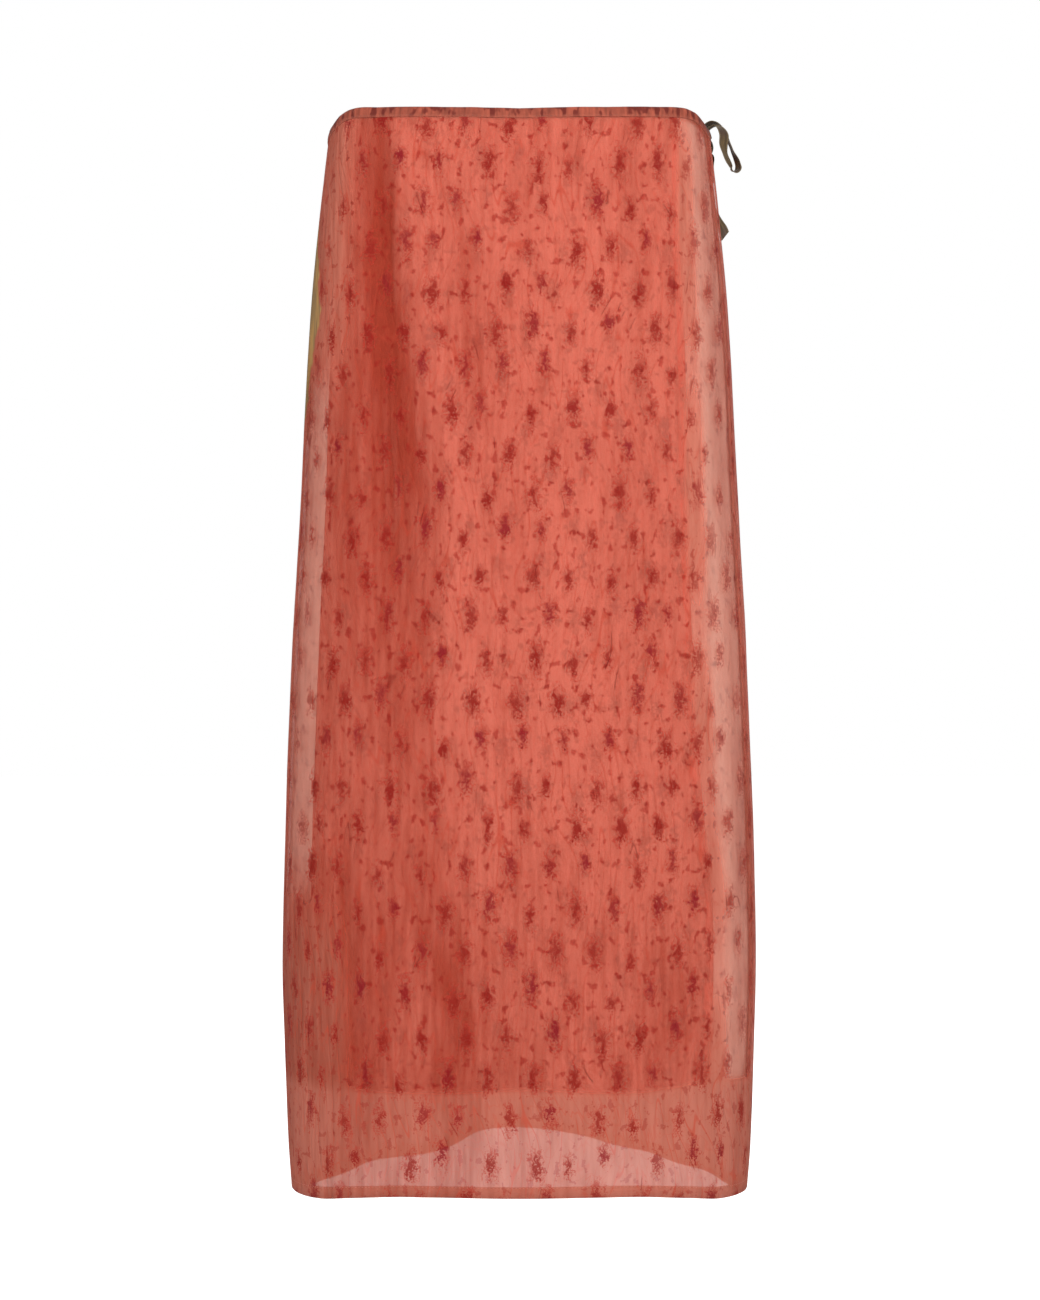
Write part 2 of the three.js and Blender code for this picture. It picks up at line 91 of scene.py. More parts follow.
# Level sections of the outer cloth: half width, depth to the front and to the back, and how
# square each half is, 2 being an ellipse.
Section = namedtuple("Section", "drop half_width front back square_front square_back")
SECTIONS = rows(
    Section, (0.0, 0.1596, 0.092, 0.095, 2.9, 2.7), (0.06, 0.1669, 0.098, 0.105, 2.8, 2.6),
    (0.145, 0.1752, 0.105, 0.117, 2.7, 2.5), (0.23, 0.1806, 0.109, 0.121, 2.65, 2.5),
    (0.315, 0.1846, 0.111, 0.119, 2.6, 2.5), (0.44, 0.1917, 0.114, 0.118, 2.6, 2.5),
    (0.57, 0.1969, 0.117, 0.12, 2.6, 2.5), (0.695, 0.1997, 0.119, 0.121, 2.6, 2.5),
    (0.78, 0.1976, 0.119, 0.121, 2.6, 2.55), (0.855, 0.1949, 0.118, 0.12, 2.6, 2.6),
    (0.89, 0.1922, 0.118, 0.12, 2.6, 2.6))

# How far the waist edge rises above level, by the angle turned from centre front.
Rise = namedtuple("Rise", "angle rise")
WAIST_RISES = rows(
    Rise, (0, 0.0), (40, 0.002), (55, 0.004), (64, 0.0058), (70, 0.0036), (76, -0.0024), (82, -0.0054),
    (90, -0.0062), (100, -0.005), (115, -0.001), (128, 0.001), (141, 0.003), (159, 0.004), (180, 0.004))

# How far the hem dips below level, all the way round.
Dip = namedtuple("Dip", "angle dip")
HEM_DIPS = rows(
    Dip, (0, 0), (40, 0), (55, 0.004), (64, 0.008), (76, 0.0095), (90, 0.011), (98, 0.019), (104, 0.025),
    (109, 0.0235), (115, 0.018), (125, 0.014), (133, 0.0065), (139, 0.004), (146, 0), (152, -0.0045),
    (162, -0.009), (173, -0.012), (188, -0.0125), (198, -0.0085), (207, 0.003), (216, 0.0095),
    (226, 0.0115), (233, 0.0135), (241, 0.0215), (248, 0.024), (255, 0.0245), (262, 0.019), (270, 0.011),
    (284, 0.0095), (296, 0.008), (305, 0.004), (320, 0), (360, 0))

# How far the free edge of the under wrap wanders round, in degrees by drop, and the angles
# between which the cloth beside it begins to go along.
Drift = namedtuple("Drift", "drop drift")
UNDER_EDGE_DRIFTS = rows(
    Drift, (0.03, 0.0), (0.089, -2.0), (0.18, -3.0), (0.276, -3.4), (0.429, -3.9), (0.48, -3.4),
    (0.552, -2.6), (0.604, -1.2), (0.653, 0.0), (0.72, -0.2), (0.796, -0.5))
DRIFT_STARTS = (42, 57)

# How far the lining and the under wrap hang lower than level, at their hem.
Sag = namedtuple("Sag", "angle sag")
LINING_SAGS = rows(
    Sag, (-90, 0), (-76, 0), (-60, 0.0005), (-45, 0.0025), (-28, 0.003), (-12, 0.001), (0, 0.0003),
    (15, 0.001), (28, 0.0026), (42, 0.0026), (51, -0.001), (60, -0.0055), (72, -0.004), (90, 0))

# The largest folds, from x at the waist line to foot at the hem line, between two drops.
Fold = namedtuple("Fold", "x foot start end width height")
FRONT_FOLDS = rows(
    Fold, (-0.118, -0.1, -0.08, 0.5, 0.015, -0.005), (-0.09, 0.006, 0.01, 0.74, 0.02, 0.0035),
    (-0.034, -0.02, 0.03, 0.46, 0.014, -0.0016), (0.098, 0.116, -0.04, 0.28, 0.012, -0.0016),
    (0.11, 0.126, 0.6, 0.8, 0.017, -0.002))
BACK_FOLDS = rows(
    Fold, (-0.084, -0.104, 0.04, 0.62, 0.016, -0.004), (-0.048, -0.058, 0.12, 0.8, 0.018, 0.003),
    (0.022, 0.04, 0.18, 0.9, 0.017, -0.003), (0.066, 0.088, 0.01, 0.56, 0.015, 0.0025),
    (0.108, 0.122, -0.02, 0.48, 0.013, -0.003))

# Share of a fold's length over which it rises or dies away, the shares of the half width between
# which all folds die away towards the sides, and those of a crease's length for its rise and end.
FOLD_EASE = 0.35
FOLDS_END = (0.86, 0.985)
CREASE_RISES = (-0.05, 0.35)
CREASE_ENDS = (0.6, 1.05)

# Smaller creases, each a soft trough or ridge from one point to another, as x and drop.
Crease = namedtuple("Crease", "x drop end_x end_drop width height")
FRONT_CREASES = rows(
    Crease, (-0.031, 0.647, -0.087, 0.755, 0.011, -0.002), (-0.06, 0.7, -0.118, 0.8, 0.01, 0.0011),
    (-0.135, 0.04, -0.128, 0.19, 0.006, 0.001), (-0.096, 0.012, -0.104, 0.13, 0.006, 0.0009),
    (-0.072, 0.02, -0.066, 0.11, 0.005, -0.0008), (-0.02, 0.012, -0.024, 0.09, 0.005, 0.0007),
    (0.02, 0.014, 0.016, 0.15, 0.006, -0.0008), (0.052, 0.01, 0.058, 0.12, 0.005, 0.0007),
    (0.081, 0.06, 0.078, 0.24, 0.007, 0.001), (0.118, 0.012, 0.122, 0.1, 0.005, -0.0008),
    (-0.11, 0.3, -0.076, 0.47, 0.01, -0.0014), (-0.052, 0.24, -0.04, 0.4, 0.009, 0.0011),
    (0.004, 0.33, 0.012, 0.52, 0.01, 0.001), (0.036, 0.2, 0.03, 0.35, 0.008, -0.001),
    (0.07, 0.42, 0.086, 0.6, 0.011, 0.0012), (-0.014, 0.5, -0.004, 0.66, 0.01, -0.0012),
    (0.048, 0.6, 0.04, 0.76, 0.01, -0.001), (-0.148, 0.56, -0.132, 0.78, 0.01, -0.0014),
    (-0.128, 0.64, -0.104, 0.86, 0.009, 0.0012), (0.15, 0.18, 0.154, 0.42, 0.007, 0.0013),
    (0.166, 0.1, 0.168, 0.3, 0.006, -0.0012), (0.16, 0.48, 0.166, 0.7, 0.008, -0.0012),
    (0.1, 0.77, 0.092, 0.88, 0.009, 0.001), (-0.05, 0.79, -0.056, 0.88, 0.007, 0.0009),
    (0.012, 0.78, 0.006, 0.88, 0.008, -0.001))
BACK_CREASES = rows(
    Crease, (-0.13, 0.03, -0.124, 0.17, 0.006, 0.001), (-0.104, 0.014, -0.108, 0.12, 0.006, -0.0009),
    (-0.066, 0.012, -0.058, 0.1, 0.005, 0.0008), (-0.022, 0.014, -0.028, 0.14, 0.006, -0.0009),
    (0.01, 0.012, 0.008, 0.09, 0.005, 0.0007), (0.046, 0.014, 0.052, 0.13, 0.006, -0.0008),
    (0.084, 0.012, 0.08, 0.1, 0.005, 0.0008), (0.128, 0.03, 0.134, 0.18, 0.006, -0.001),
    (-0.094, 0.26, -0.06, 0.4, 0.01, -0.0014), (-0.02, 0.28, 0.004, 0.42, 0.01, 0.0013),
    (0.06, 0.33, 0.036, 0.47, 0.01, -0.0012), (0.12, 0.48, 0.104, 0.64, 0.01, 0.0012),
    (-0.124, 0.54, -0.1, 0.72, 0.01, 0.0013), (-0.03, 0.6, -0.05, 0.76, 0.011, -0.0016),
    (0.064, 0.66, 0.082, 0.82, 0.01, -0.0012), (0.01, 0.72, 0.002, 0.86, 0.009, 0.0012),
    (-0.15, 0.3, -0.146, 0.52, 0.008, -0.0012), (0.156, 0.24, 0.15, 0.44, 0.008, 0.0012))

# Soft patches of painted light and shade on the front, and of lighter and darker cloth at the back,
# read as creases are: height is how much lighter the cloth is there.
FRONT_SHADE_PATCHES = rows(
    Crease, (-0.112, -0.04, -0.112, 0.2, 0.01, -0.65), (-0.112, 0.05, -0.109, 0.26, 0.011, -1.1),
    (-0.106, 0.15, -0.078, 0.36, 0.01, -0.7), (-0.142, 0.15, -0.14, 0.4, 0.01, -0.3),
    (-0.11, 0.16, -0.1, 0.56, 0.028, -0.18), (-0.096, 0.58, -0.14, 0.9, 0.026, -0.3),
    (-0.15, 0.56, -0.16, 0.8, 0.024, -0.2), (-0.01, -0.04, 0.0, 0.11, 0.04, -0.25),
    (-0.046, 0.06, -0.034, 0.29, 0.013, -0.5), (0.0, 0.56, 0.0, 0.98, 0.09, -0.28),
    (0.086, 0.0, 0.098, 0.18, 0.01, -0.25), (-0.086, 0.63, -0.036, 0.78, 0.01, -0.4),
    (0.118, 0.64, 0.126, 0.8, 0.02, -0.4), (0.01, 0.35, 0.02, 0.62, 0.03, 0.35),
    (0.06, 0.04, 0.052, 0.26, 0.018, 0.25), (0.1, 0.64, 0.12, 0.86, 0.03, -0.3),
    (-0.04, 0.66, 0.01, 0.9, 0.026, -0.25))
BACK_DRIFTS = rows(
    Crease, (-0.096, 0.05, -0.092, 0.42, 0.012, -0.8), (-0.02, 0.12, -0.034, 0.56, 0.018, -0.45),
    (0.05, 0.06, 0.062, 0.38, 0.01, -0.6), (0.118, 0.2, 0.108, 0.7, 0.022, -0.45),
    (-0.06, 0.42, -0.08, 0.86, 0.026, 0.3), (0.01, 0.48, 0.03, 0.86, 0.026, 0.28),
    (0.08, 0.62, 0.05, 0.8, 0.014, -0.45))
# The line of the broad ridge down the front, as x by drop: the cloth left of it is painted darker, as painted
# shade, and right of it lighter, as painted light.
Ridge = namedtuple("Ridge", "drop x")
RIDGE_SHADE_LINE = rows(
    Ridge, (0.0, -0.102), (0.078, -0.089), (0.158, -0.074), (0.28, -0.056), (0.368, -0.057),
    (0.44, -0.061), (0.52, -0.063), (0.6, -0.055), (0.68, -0.04), (0.79, -0.03))

# Each layer's outer face, measured outwards from the outer cloth.
Layer = namedtuple("Layer", "waist hanging seed")
OUTER = Layer(0.0, 0.0, 11)
UNDER = Layer(-0.0020, -0.0026, 23)
LINING = Layer(-0.0037, -0.0048, 37)


# ---- Settings ----
class SkirtCloth(bpy.types.PropertyGroup):
    column_step: FloatProperty(
        name="Column Step", description="Distance between points round the cloth",
        default=0.0024, min=0.001, unit="LENGTH")
    row_step: FloatProperty(
        name="Row Step", description="Distance between points down the cloth",
        default=0.0060, min=0.001, unit="LENGTH")
    thickness: FloatProperty(
        name="Thickness", description="Thickness of one ply of silk",
        default=0.00035, min=0.0001, unit="LENGTH")
    crinkle: FloatProperty(
        name="Crinkle", description="Height of the fine crinkle of the silk",
        default=0.00055, min=0.0, unit="LENGTH")
    gather: FloatProperty(
        name="Gather", description="Height of the gathers in the waistband",
        default=0.00024, min=0.0, unit="LENGTH")


class SkirtColours(bpy.types.PropertyGroup):
    coral: FloatVectorProperty(
        name="Coral", description="Ground of the sheer silk", subtype="COLOR", default=(0.735, 0.188, 0.116))
    deep_coral: FloatVectorProperty(
        name="Deep Coral", description="Ground of the under wrap", subtype="COLOR",
        default=(0.70, 0.132, 0.081))
    heart: FloatVectorProperty(
        name="Heart", description="Dark red in the middle of a spray", subtype="COLOR",
        default=(0.27, 0.012, 0.008))
    plum: FloatVectorProperty(
        name="Plum", description="Heart of the sprays that are bluer", subtype="COLOR",
        default=(0.25, 0.010, 0.017))
    petal: FloatVectorProperty(
        name="Petal", description="Red of the ragged petals", subtype="COLOR", default=(0.44, 0.040, 0.026))
    fleck: FloatVectorProperty(
        name="Fleck", description="Brown red of the flecks between the sprays", subtype="COLOR",
        default=(0.40, 0.024, 0.016))
    lining: FloatVectorProperty(
        name="Lining", description="Plain pale lining", subtype="COLOR", default=(0.94, 0.75, 0.62))
    olive: FloatVectorProperty(
        name="Olive", description="Olive dye at the back of the left side", subtype="COLOR",
        default=(0.54, 0.300, 0.110))
    band: FloatVectorProperty(
        name="Band", description="Dusky rose of the waistband", subtype="COLOR",
        default=(0.285, 0.062, 0.036))
    ribbon: FloatVectorProperty(
        name="Ribbon", description="Olive brown of the ribbon", subtype="COLOR",
        default=(0.150, 0.092, 0.036))


class SkirtStitches(bpy.types.PropertyGroup):
    spacing: FloatProperty(
        name="Spacing", description="Distance from one stitch to the next",
        default=0.0030, min=0.001, unit="LENGTH")
    length: FloatProperty(
        name="Length", description="Length of the thread that shows in one stitch",
        default=0.0017, min=0.0005, unit="LENGTH")
    thread: FloatProperty(
        name="Thread", description="Thickness of the thread",
        default=0.00030, min=0.0001, unit="LENGTH")
    seed: IntProperty(
        name="Seed", description="Seed of the small differences between stitches", default=5)


class SkirtStage(bpy.types.PropertyGroup):
    camera_distance: FloatProperty(
        name="Camera Distance", description="From the camera to the middle of the waist, level",
        default=2.15, unit="LENGTH")
    camera_height: FloatProperty(
        name="Camera Height", description="Height of the camera, measured from the waist",
        default=-0.44, unit="LENGTH")
    lens: FloatProperty(
        name="Lens", description="Focal length on a 36 mm sensor", default=70.2, unit="CAMERA")
    floor_drop: FloatProperty(
        name="Floor Drop", description="From the waist down to the floor", default=1.15, unit="LENGTH")
    key_power: FloatProperty(
        name="Key Light", description="Power of the large light at the front right", default=66.0,
        unit="POWER")
    fill_power: FloatProperty(
        name="Fill Light", description="Power of the light at the front left", default=50.0, unit="POWER")
    back_power: FloatProperty(
        name="Back Light", description="Power of the light behind", default=22.0, unit="POWER")
    ambient: FloatProperty(
        name="Ambient", description="Brightness of the white surroundings as a light", default=0.30)


class SkirtSettings(bpy.types.PropertyGroup):
    cloth: PointerProperty(type=SkirtCloth)
    colours: PointerProperty(type=SkirtColours)
    stitches: PointerProperty(type=SkirtStitches)
    stage: PointerProperty(type=SkirtStage)
    sewing: BoolProperty(
        name="Sewing", description="Make the stitches along hems and edges", default=True)


def settings():
    return bpy.context.scene.skirt


# ---- Form of the skirt ----
def read_table(table, name, at):
    """Smooth value of a named column, read at places in the table's first column."""
    keys = np.array([row[0] for row in table], dtype=float)
    values = np.array([getattr(row, name) for row in table], dtype=float)
    last = len(table) - 1
    before = np.maximum(np.arange(last + 1) - 1, 0)
    after = np.minimum(np.arange(last + 1) + 1, last)
    slopes = (values[after] - values[before]) / (keys[after] - keys[before])
    at = np.clip(at, keys[0], keys[-1])
    i = np.clip(np.searchsorted(keys, at, side="right") - 1, 0, last - 1)
    span = keys[i + 1] - keys[i]
    t = (at - keys[i]) / span
    rest = 1 - t
    ends = values[i] * (1 + 2 * t) * rest ** 2 + values[i + 1] * (3 - 2 * t) * t ** 2
    return ends + (slopes[i] * rest - slopes[i + 1] * t) * t * rest * span


def smooth(start, end, at):
    """Smooth step from 0 at start to 1 at end."""
    t = np.clip((at - start) / (end - start), 0, 1)
    return t * t * (3 - 2 * t)


def section_points(angle, drop):
    """Points of level sections in plan, superelliptic at the front and at the back."""
    side = np.sin(np.radians(angle))
    forward = np.cos(np.radians(angle))
    ahead = forward >= 0
    square = np.where(
        ahead, read_table(SECTIONS, "square_front", drop), read_table(SECTIONS, "square_back", drop))
    depth = np.where(ahead, read_table(SECTIONS, "front", drop), read_table(SECTIONS, "back", drop))
    width = read_table(SECTIONS, "half_width", drop)
    reach = (np.abs(side / width) ** square + np.abs(forward / depth) ** square) ** (-1 / square)
    return np.stack([reach * side, -reach * forward], axis=-1)


def fold_height(plan, drop):
    """How far the large folds and the creases move the cloth outwards."""
    x = plan[..., 0]
    ahead = plan[..., 1] < 0
    height = np.zeros_like(drop)
    for on_side, folds, creases in ((ahead, FRONT_FOLDS, FRONT_CREASES), (~ahead, BACK_FOLDS, BACK_CREASES)):
        total = np.zeros_like(drop)
        for fold in folds:
            middle = fold.x + (fold.foot - fold.x) * drop / LENGTH
            ease = (fold.end - fold.start) * FOLD_EASE
            rise = smooth(fold.start, fold.start + ease, drop)
            along = rise * (1 - smooth(fold.end - ease, fold.end, drop))
            total += fold.height * along * np.exp(-((x - middle) / fold.width) ** 2)
        for crease in creases:
            total += crease_height(crease, x, drop)
        height += np.where(on_side, total, 0)
    beside = np.abs(x) / read_table(SECTIONS, "half_width", drop)
    return height * (1 - smooth(*FOLDS_END, beside))


def crease_height(crease, x, drop):
    """A crease is soft across and dies away towards both its ends."""
    run = np.array([crease.end_x - crease.x, crease.end_drop - crease.drop])
    length = np.hypot(*run)
    run = run / length
    along = ((x - crease.x) * run[0] + (drop - crease.drop) * run[1]) / length
    across = (x - crease.x) * run[1] - (drop - crease.drop) * run[0]
    bend = 0.12 * crease.width * np.sin(6.0 * along + 40.0 * crease.x)
    fade = smooth(*CREASE_RISES, along) * (1 - smooth(*CREASE_ENDS, along))
    return crease.height * fade * np.exp(-((across - bend) / crease.width) ** 2)


# Shares of the length over which the lining's sag grows and ends, and how near their edges the
# rise of the waist and the dip of the hem keep, as a power of the share.
SAG_GROWS = (0.55, 0.87)
SAG_ENDS = (0.9, 0.985)
EDGE_POWER = 8


def level_at(angle, share):
    """Height of a point that lies a share of the way from the waist edge to the hem."""
    turned = np.abs((angle + 180) % 360 - 180)
    rise = read_table(WAIST_RISES, "rise", turned) * (1 - np.clip(share, 0, 1)) ** EDGE_POWER
    dip = read_table(HEM_DIPS, "dip", np.asarray(angle) % 360) * share ** EDGE_POWER
    at_lining_hem = smooth(*SAG_GROWS, share) * (1 - smooth(*SAG_ENDS, share))
    sag = read_table(LINING_SAGS, "sag", (angle + 180) % 360 - 180) * at_lining_hem
    return rise - LENGTH * share - dip - sag


def skirt_points(angle, share, out):
    """Points on the skirt, moved outwards by out."""
    level = level_at(angle, share)
    drop = np.maximum(-level, 0)
    plan = section_points(angle, drop)
    along = section_points(angle + 0.5, drop) - section_points(angle - 0.5, drop)
    along /= np.linalg.norm(along, axis=-1, keepdims=True)
    reach = out + fold_height(plan, drop)
    return np.stack([
        plan[..., 0] + along[..., 1] * reach,
        plan[..., 1] - along[..., 0] * reach,
        level,
    ], axis=-1)


NOISE_CELLS = 256


def noise(u, v, width, length, seed):
    """Smooth random heights from -1 to 1, with cells of the given width and length."""
    field = np.random.default_rng(seed).uniform(-1, 1, (NOISE_CELLS, NOISE_CELLS))
    x = u / width
    y = v / length
    column = np.floor(x).astype(int)
    row = np.floor(y).astype(int)
    tx, ty = (t * t * (3 - 2 * t) for t in (x - column, y - row))

    def across(down):
        first, second = (field[(column + step) % NOISE_CELLS, (row + down) % NOISE_CELLS] for step in (0, 1))
        return first * (1 - tx) + second * tx

    return across(0) * (1 - ty) + across(1) * ty


def crinkle(u, v, seed):
    """The silk's crinkle, from about -1 to 1: soft ripples and sharper creases, long down the cloth."""
    lean = 0.010 * noise(u, v, 0.09, 0.16, seed + 3)
    soft = noise(u + lean, v, 0.0075, 0.060, seed)
    sharp = 0.4 - 1.6 * np.abs(noise(u + lean, v, 0.013, 0.085, seed + 1))
    patchy = 0.7 + 0.3 * noise(u, v, 0.07, 0.15, seed + 2)
    return patchy * (0.6 * soft + 0.5 * sharp)


# ---- Makers of meshes ----
def grid_mesh(name, points, uv, wrap=False):
    """A sheet through a grid of points, facing the way that columns turn into rows."""
    index = np.arange(points[..., 0].size).reshape(points.shape[:2])
    if wrap:
        index = np.concatenate([index, index[:, :1]], axis=1)
    faces = np.stack([index[:-1, :-1], index[1:, :-1], index[1:, 1:], index[:-1, 1:]], axis=-1).reshape(-1, 4)
    mesh = bpy.data.meshes.new(name)
    mesh.from_pydata(points.reshape(-1, 3).tolist(), [], faces.tolist())
    mesh.polygons.foreach_set("use_smooth", np.ones(len(faces), dtype=bool))
    layer = mesh.uv_layers.new(name=CLOTH_MAP)
    layer.data.foreach_set("uv", uv.reshape(-1, 2)[faces.reshape(-1)].reshape(-1))
    return mesh


def add_object(name, mesh, material):
    obj = bpy.data.objects.new(name, mesh)
    bpy.context.scene.collection.objects.link(obj)
    mesh.materials.clear()
    mesh.materials.append(material)
    return obj


def paint(mesh, name, values):
    """Keeps a number for each point, for the materials to read."""
    attribute = mesh.attributes.new(name=name, type="FLOAT", domain="POINT")
    attribute.data.foreach_set("value", np.ascontiguousarray(values, dtype=np.float32).reshape(-1))


def give_thickness(obj, thickness):
    solid = obj.modifiers.new("Thickness", "SOLIDIFY")
    solid.thickness = thickness
    solid.offset = -1
    solid.use_quality_normals = False


def finish_piece(obj, slot, *nodes):
    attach(obj, BODY)
    if nodes:
        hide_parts(*nodes)


# A way across or down a panel. stops are angles or shares, ply is 0 on the cloth itself, 1 on
# the part that is turned in behind it, and a half on the bend between.
Way = namedtuple("Way", "stops ply")


def way_with_turns(stops, first_turn, last_turn, bend):
    """Adds the turned in parts at the first and last stop."""
    parts = [np.asarray(stops, dtype=float)]
    plies = [np.zeros(len(stops))]
    if first_turn > 0:
        back = np.linspace(stops[0] + first_turn, stops[0], TURN_POINTS)
        parts.insert(0, np.append(back, stops[0] - bend))
        plies.insert(0, np.append(np.ones(TURN_POINTS), 0.5))
    if last_turn > 0:
        back = np.linspace(stops[-1], stops[-1] - last_turn, TURN_POINTS)
        parts.append(np.insert(back, 0, stops[-1] + bend))
        plies.append(np.insert(np.ones(TURN_POINTS), 0, 0.5))
    return Way(np.concatenate(parts), np.concatenate(plies))


def run_along(points):
    """Distance of each point from the first, along the line through them."""
    return np.concatenate([[0], np.cumsum(np.linalg.norm(np.diff(points, axis=0), axis=1))])


def even_angles(start, end, step, share=0.5):
    """Angles that lie evenly along the ring at one level."""
    fine = np.linspace(start, end, 400)
    run = run_along(skirt_points(fine, np.full_like(fine, share), 0))
    count = int(round(run[-1] / step)) + 1
    return np.interp(np.linspace(0, run[-1], count), run, fine)


# All that says where a panel lies: its slot, its edges as angles, how far it reaches down, its
# layer, the parts turned in at its hem and edges, and the angle of its middle line.
Panel = namedtuple("Panel", "name slot start end length layer hem_turn start_turn end_turn middle")
PANELS = {panel.name: panel for panel in rows(
    Panel,
    ("outer_front", "sheer_print", LEFT_SEAM, WRAP_EDGE, LENGTH, OUTER,
     HEM_TURN, SEAM_TURN_ANGLE, WRAP_TURN, 0),
    ("outer_back", "sheer_print", TUCK_START, LEFT_SEAM + 360, LENGTH, OUTER,
     HEM_TURN, SEAM_TURN_ANGLE, SEAM_TURN_ANGLE, 180),
    ("under_front", "under_print", UNDER_LEFT_EDGE, UNDER_RIGHT_EDGE, LINING_LENGTH, UNDER,
     UNDER_TURN, SEAM_TURN_ANGLE, UNDER_EDGE_TURN, 0),
    ("lining_front", "lining", LEFT_SEAM, RIGHT_SEAM, LINING_LENGTH, LINING,
     LINING_TURN, SEAM_TURN_ANGLE, SEAM_TURN_ANGLE, 0),
    ("lining_back", "lining", RIGHT_SEAM, LEFT_SEAM + 360, LINING_LENGTH, LINING,
     LINING_TURN, SEAM_TURN_ANGLE, SEAM_TURN_ANGLE, 180))}
# Share of the length left free at the top, points across a turned part, how far the bend at a
# turn stands out in degrees and as a share, and the lining's crinkle beside the other layers'.
TOP_SHARE = 0.0025
TURN_POINTS = 4
EDGE_BEND = 0.05
HEM_BEND = 0.0003
LINING_CRINKLE = 0.55
# Drops between which the lower left of the front changes over to its painted shade and back, and
# those between which the open cloth ends, at the lining's hem.
LOW_LEFT = (0.58, 0.67)
LOW_LEFT_END = (LINING_LENGTH - 0.008, LINING_LENGTH + 0.004)
VEIL_END = (LINING_LENGTH - 0.008, LINING_LENGTH + 0.002)
# How much a fold changes the tone, as painted shade in hollows and painted light on ridges, the depth of a
# fold that does so fully, and the tone right of the broad ridge with how much painted shade darkens its left.
FOLD_SHADE = 0.35
FULL_FOLD = 0.004
RIDGE_TONE = 0.16
RIDGE_SHADE = 0.58
# Bands of tone down the right side of the front and places where the left side changes, as
# shares of the half width.
Band = namedtuple("Band", "beside width tone")
SIDE_BANDS = rows(Band, (0.845, 0.028, 0.75), (0.915, 0.014, -0.60))
PALE_LEFT = (-0.80, -0.86)
PALE_LEFT_TONE = 0.45
# Where the lower left of the front gets its painted shade, as shares of the half width, and how much.
SHADED_LOW_LEFT = (-0.62, -0.74)
SHADED_LOW_LEFT_TONE = 0.52

# The print: distances between sprays, their half sizes, how much each row moves across and how
# far a spray strays from its place.
SPRAY_COLUMN = 0.0345
SPRAY_ROW = 0.0335
SPRAY_HALF_WIDTH = 0.0056
SPRAY_HALF_HEIGHT = 0.0132
SPRAY_STAGGER = 0.5
SPRAY_STRAY = 0.36
OUTER_SHIFT = (0.513, 0.721, 0.0)
UNDER_SHIFT = (0.931, 0.307, 0.0)

# How much of what is behind it one face of the silk hides, at the hem and higher up.
OUTER_DENSITY = (0.72, 0.31)
UNDER_DENSITY = (0.97, 0.80)

# Colour that is mixed in where the cloth is closer, and how much of it.
OUTER_DOUBLED = (0.24, 0.145, 0.100, 0.26)
UNDER_DOUBLED = (0.78, 0.050, 0.024, 0.62)

# What the ground is multiplied by where the painted shade of the crinkle and the tone is deepest, and in the
# hair fine creases, as painted shade.
SHADED_GROUND = (0.62, 0.32, 0.27)
HAIR_SHADE_GROUND = (0.86, 0.46, 0.40)

# How strongly each mark covers the ground, and how much of the print stays where it is faint.
# Pairs are for closer and for open cloth.
HAIR_SHADE_AMOUNT = 0.60
PETAL_AMOUNT = 0.76
HEART_AMOUNT = 0.90
CREASE_SHADE_AMOUNT = 0.65
FAINT_AMOUNT = 0.62
SPRAY_AMOUNTS = (0.88, 1.0)
FLECK_AMOUNTS = (0.45, 0.80)


def run_from_middle(angle, share, middle):
    """Distance round the ring from a panel's middle line, level by level."""
    fine = np.linspace(angle.min() - 1, angle.max() + 1, 361)
    ring = skirt_points(*np.meshgrid(fine, share[:, 0]), 0)
    steps = np.linalg.norm(np.diff(ring, axis=1), axis=2)
    run = np.concatenate([np.zeros((len(steps), 1)), np.cumsum(steps, axis=1)], axis=1)
    return np.array([
        np.interp(at, fine, level) - np.interp(middle, fine, level) for at, level in zip(angle, run)])


def cloth_points(panel, angle, share, ply):
    """Points of a panel with its crinkle, and the distances u and v of each along the cloth."""
    v = share * LENGTH
    if panel.layer is UNDER:
        angle = angle + read_table(UNDER_EDGE_DRIFTS, "drift", v) * smooth(*DRIFT_STARTS, angle)
    u = run_from_middle(angle, share, panel.middle)
    parted = smooth(0, FREE_DROP, v)
    out = panel.layer.waist + (panel.layer.hanging - panel.layer.waist) * parted
    out = out - BAND_RECESS * (1 - smooth(BAND_HEIGHT * 0.75, BAND_HEIGHT * 1.15, v))
    if panel.name == "outer_back":
        out = out - TUCK_DEPTH * (1 - smooth(WRAP_EDGE + 1, TUCK_END, angle))
    free = 0.35 + 0.65 * smooth(BAND_HEIGHT, 0.05, v)
    height = settings().cloth.crinkle * free * crinkle(u, v, panel.layer.seed)
    if panel.layer is LINING:
        height = height * LINING_CRINKLE
    points = skirt_points(angle, share, out + height - PLY_GAP * ply)
    return points, u, v


def panel_ways(panel, column_step, row_step):
    start = panel.start + SEAM_CLEARANCE
    end = panel.end - SEAM_CLEARANCE
    across = way_with_turns(even_angles(start, end, column_step), panel.start_turn, panel.end_turn, EDGE_BEND)
    foot = panel.length / LENGTH
    count = int(round((panel.length - TOP_SHARE * LENGTH) / row_step)) + 1
    down = way_with_turns(np.linspace(TOP_SHARE, foot, count), 0, panel.hem_turn / LENGTH, HEM_BEND)
    return across, down


def unfolded(values, ply, edges):
    """Distance along the flat cloth, which goes on past an edge where the cloth turns back."""
    turned = ply > 0
    return np.where(turned, 2 * edges - values, values)


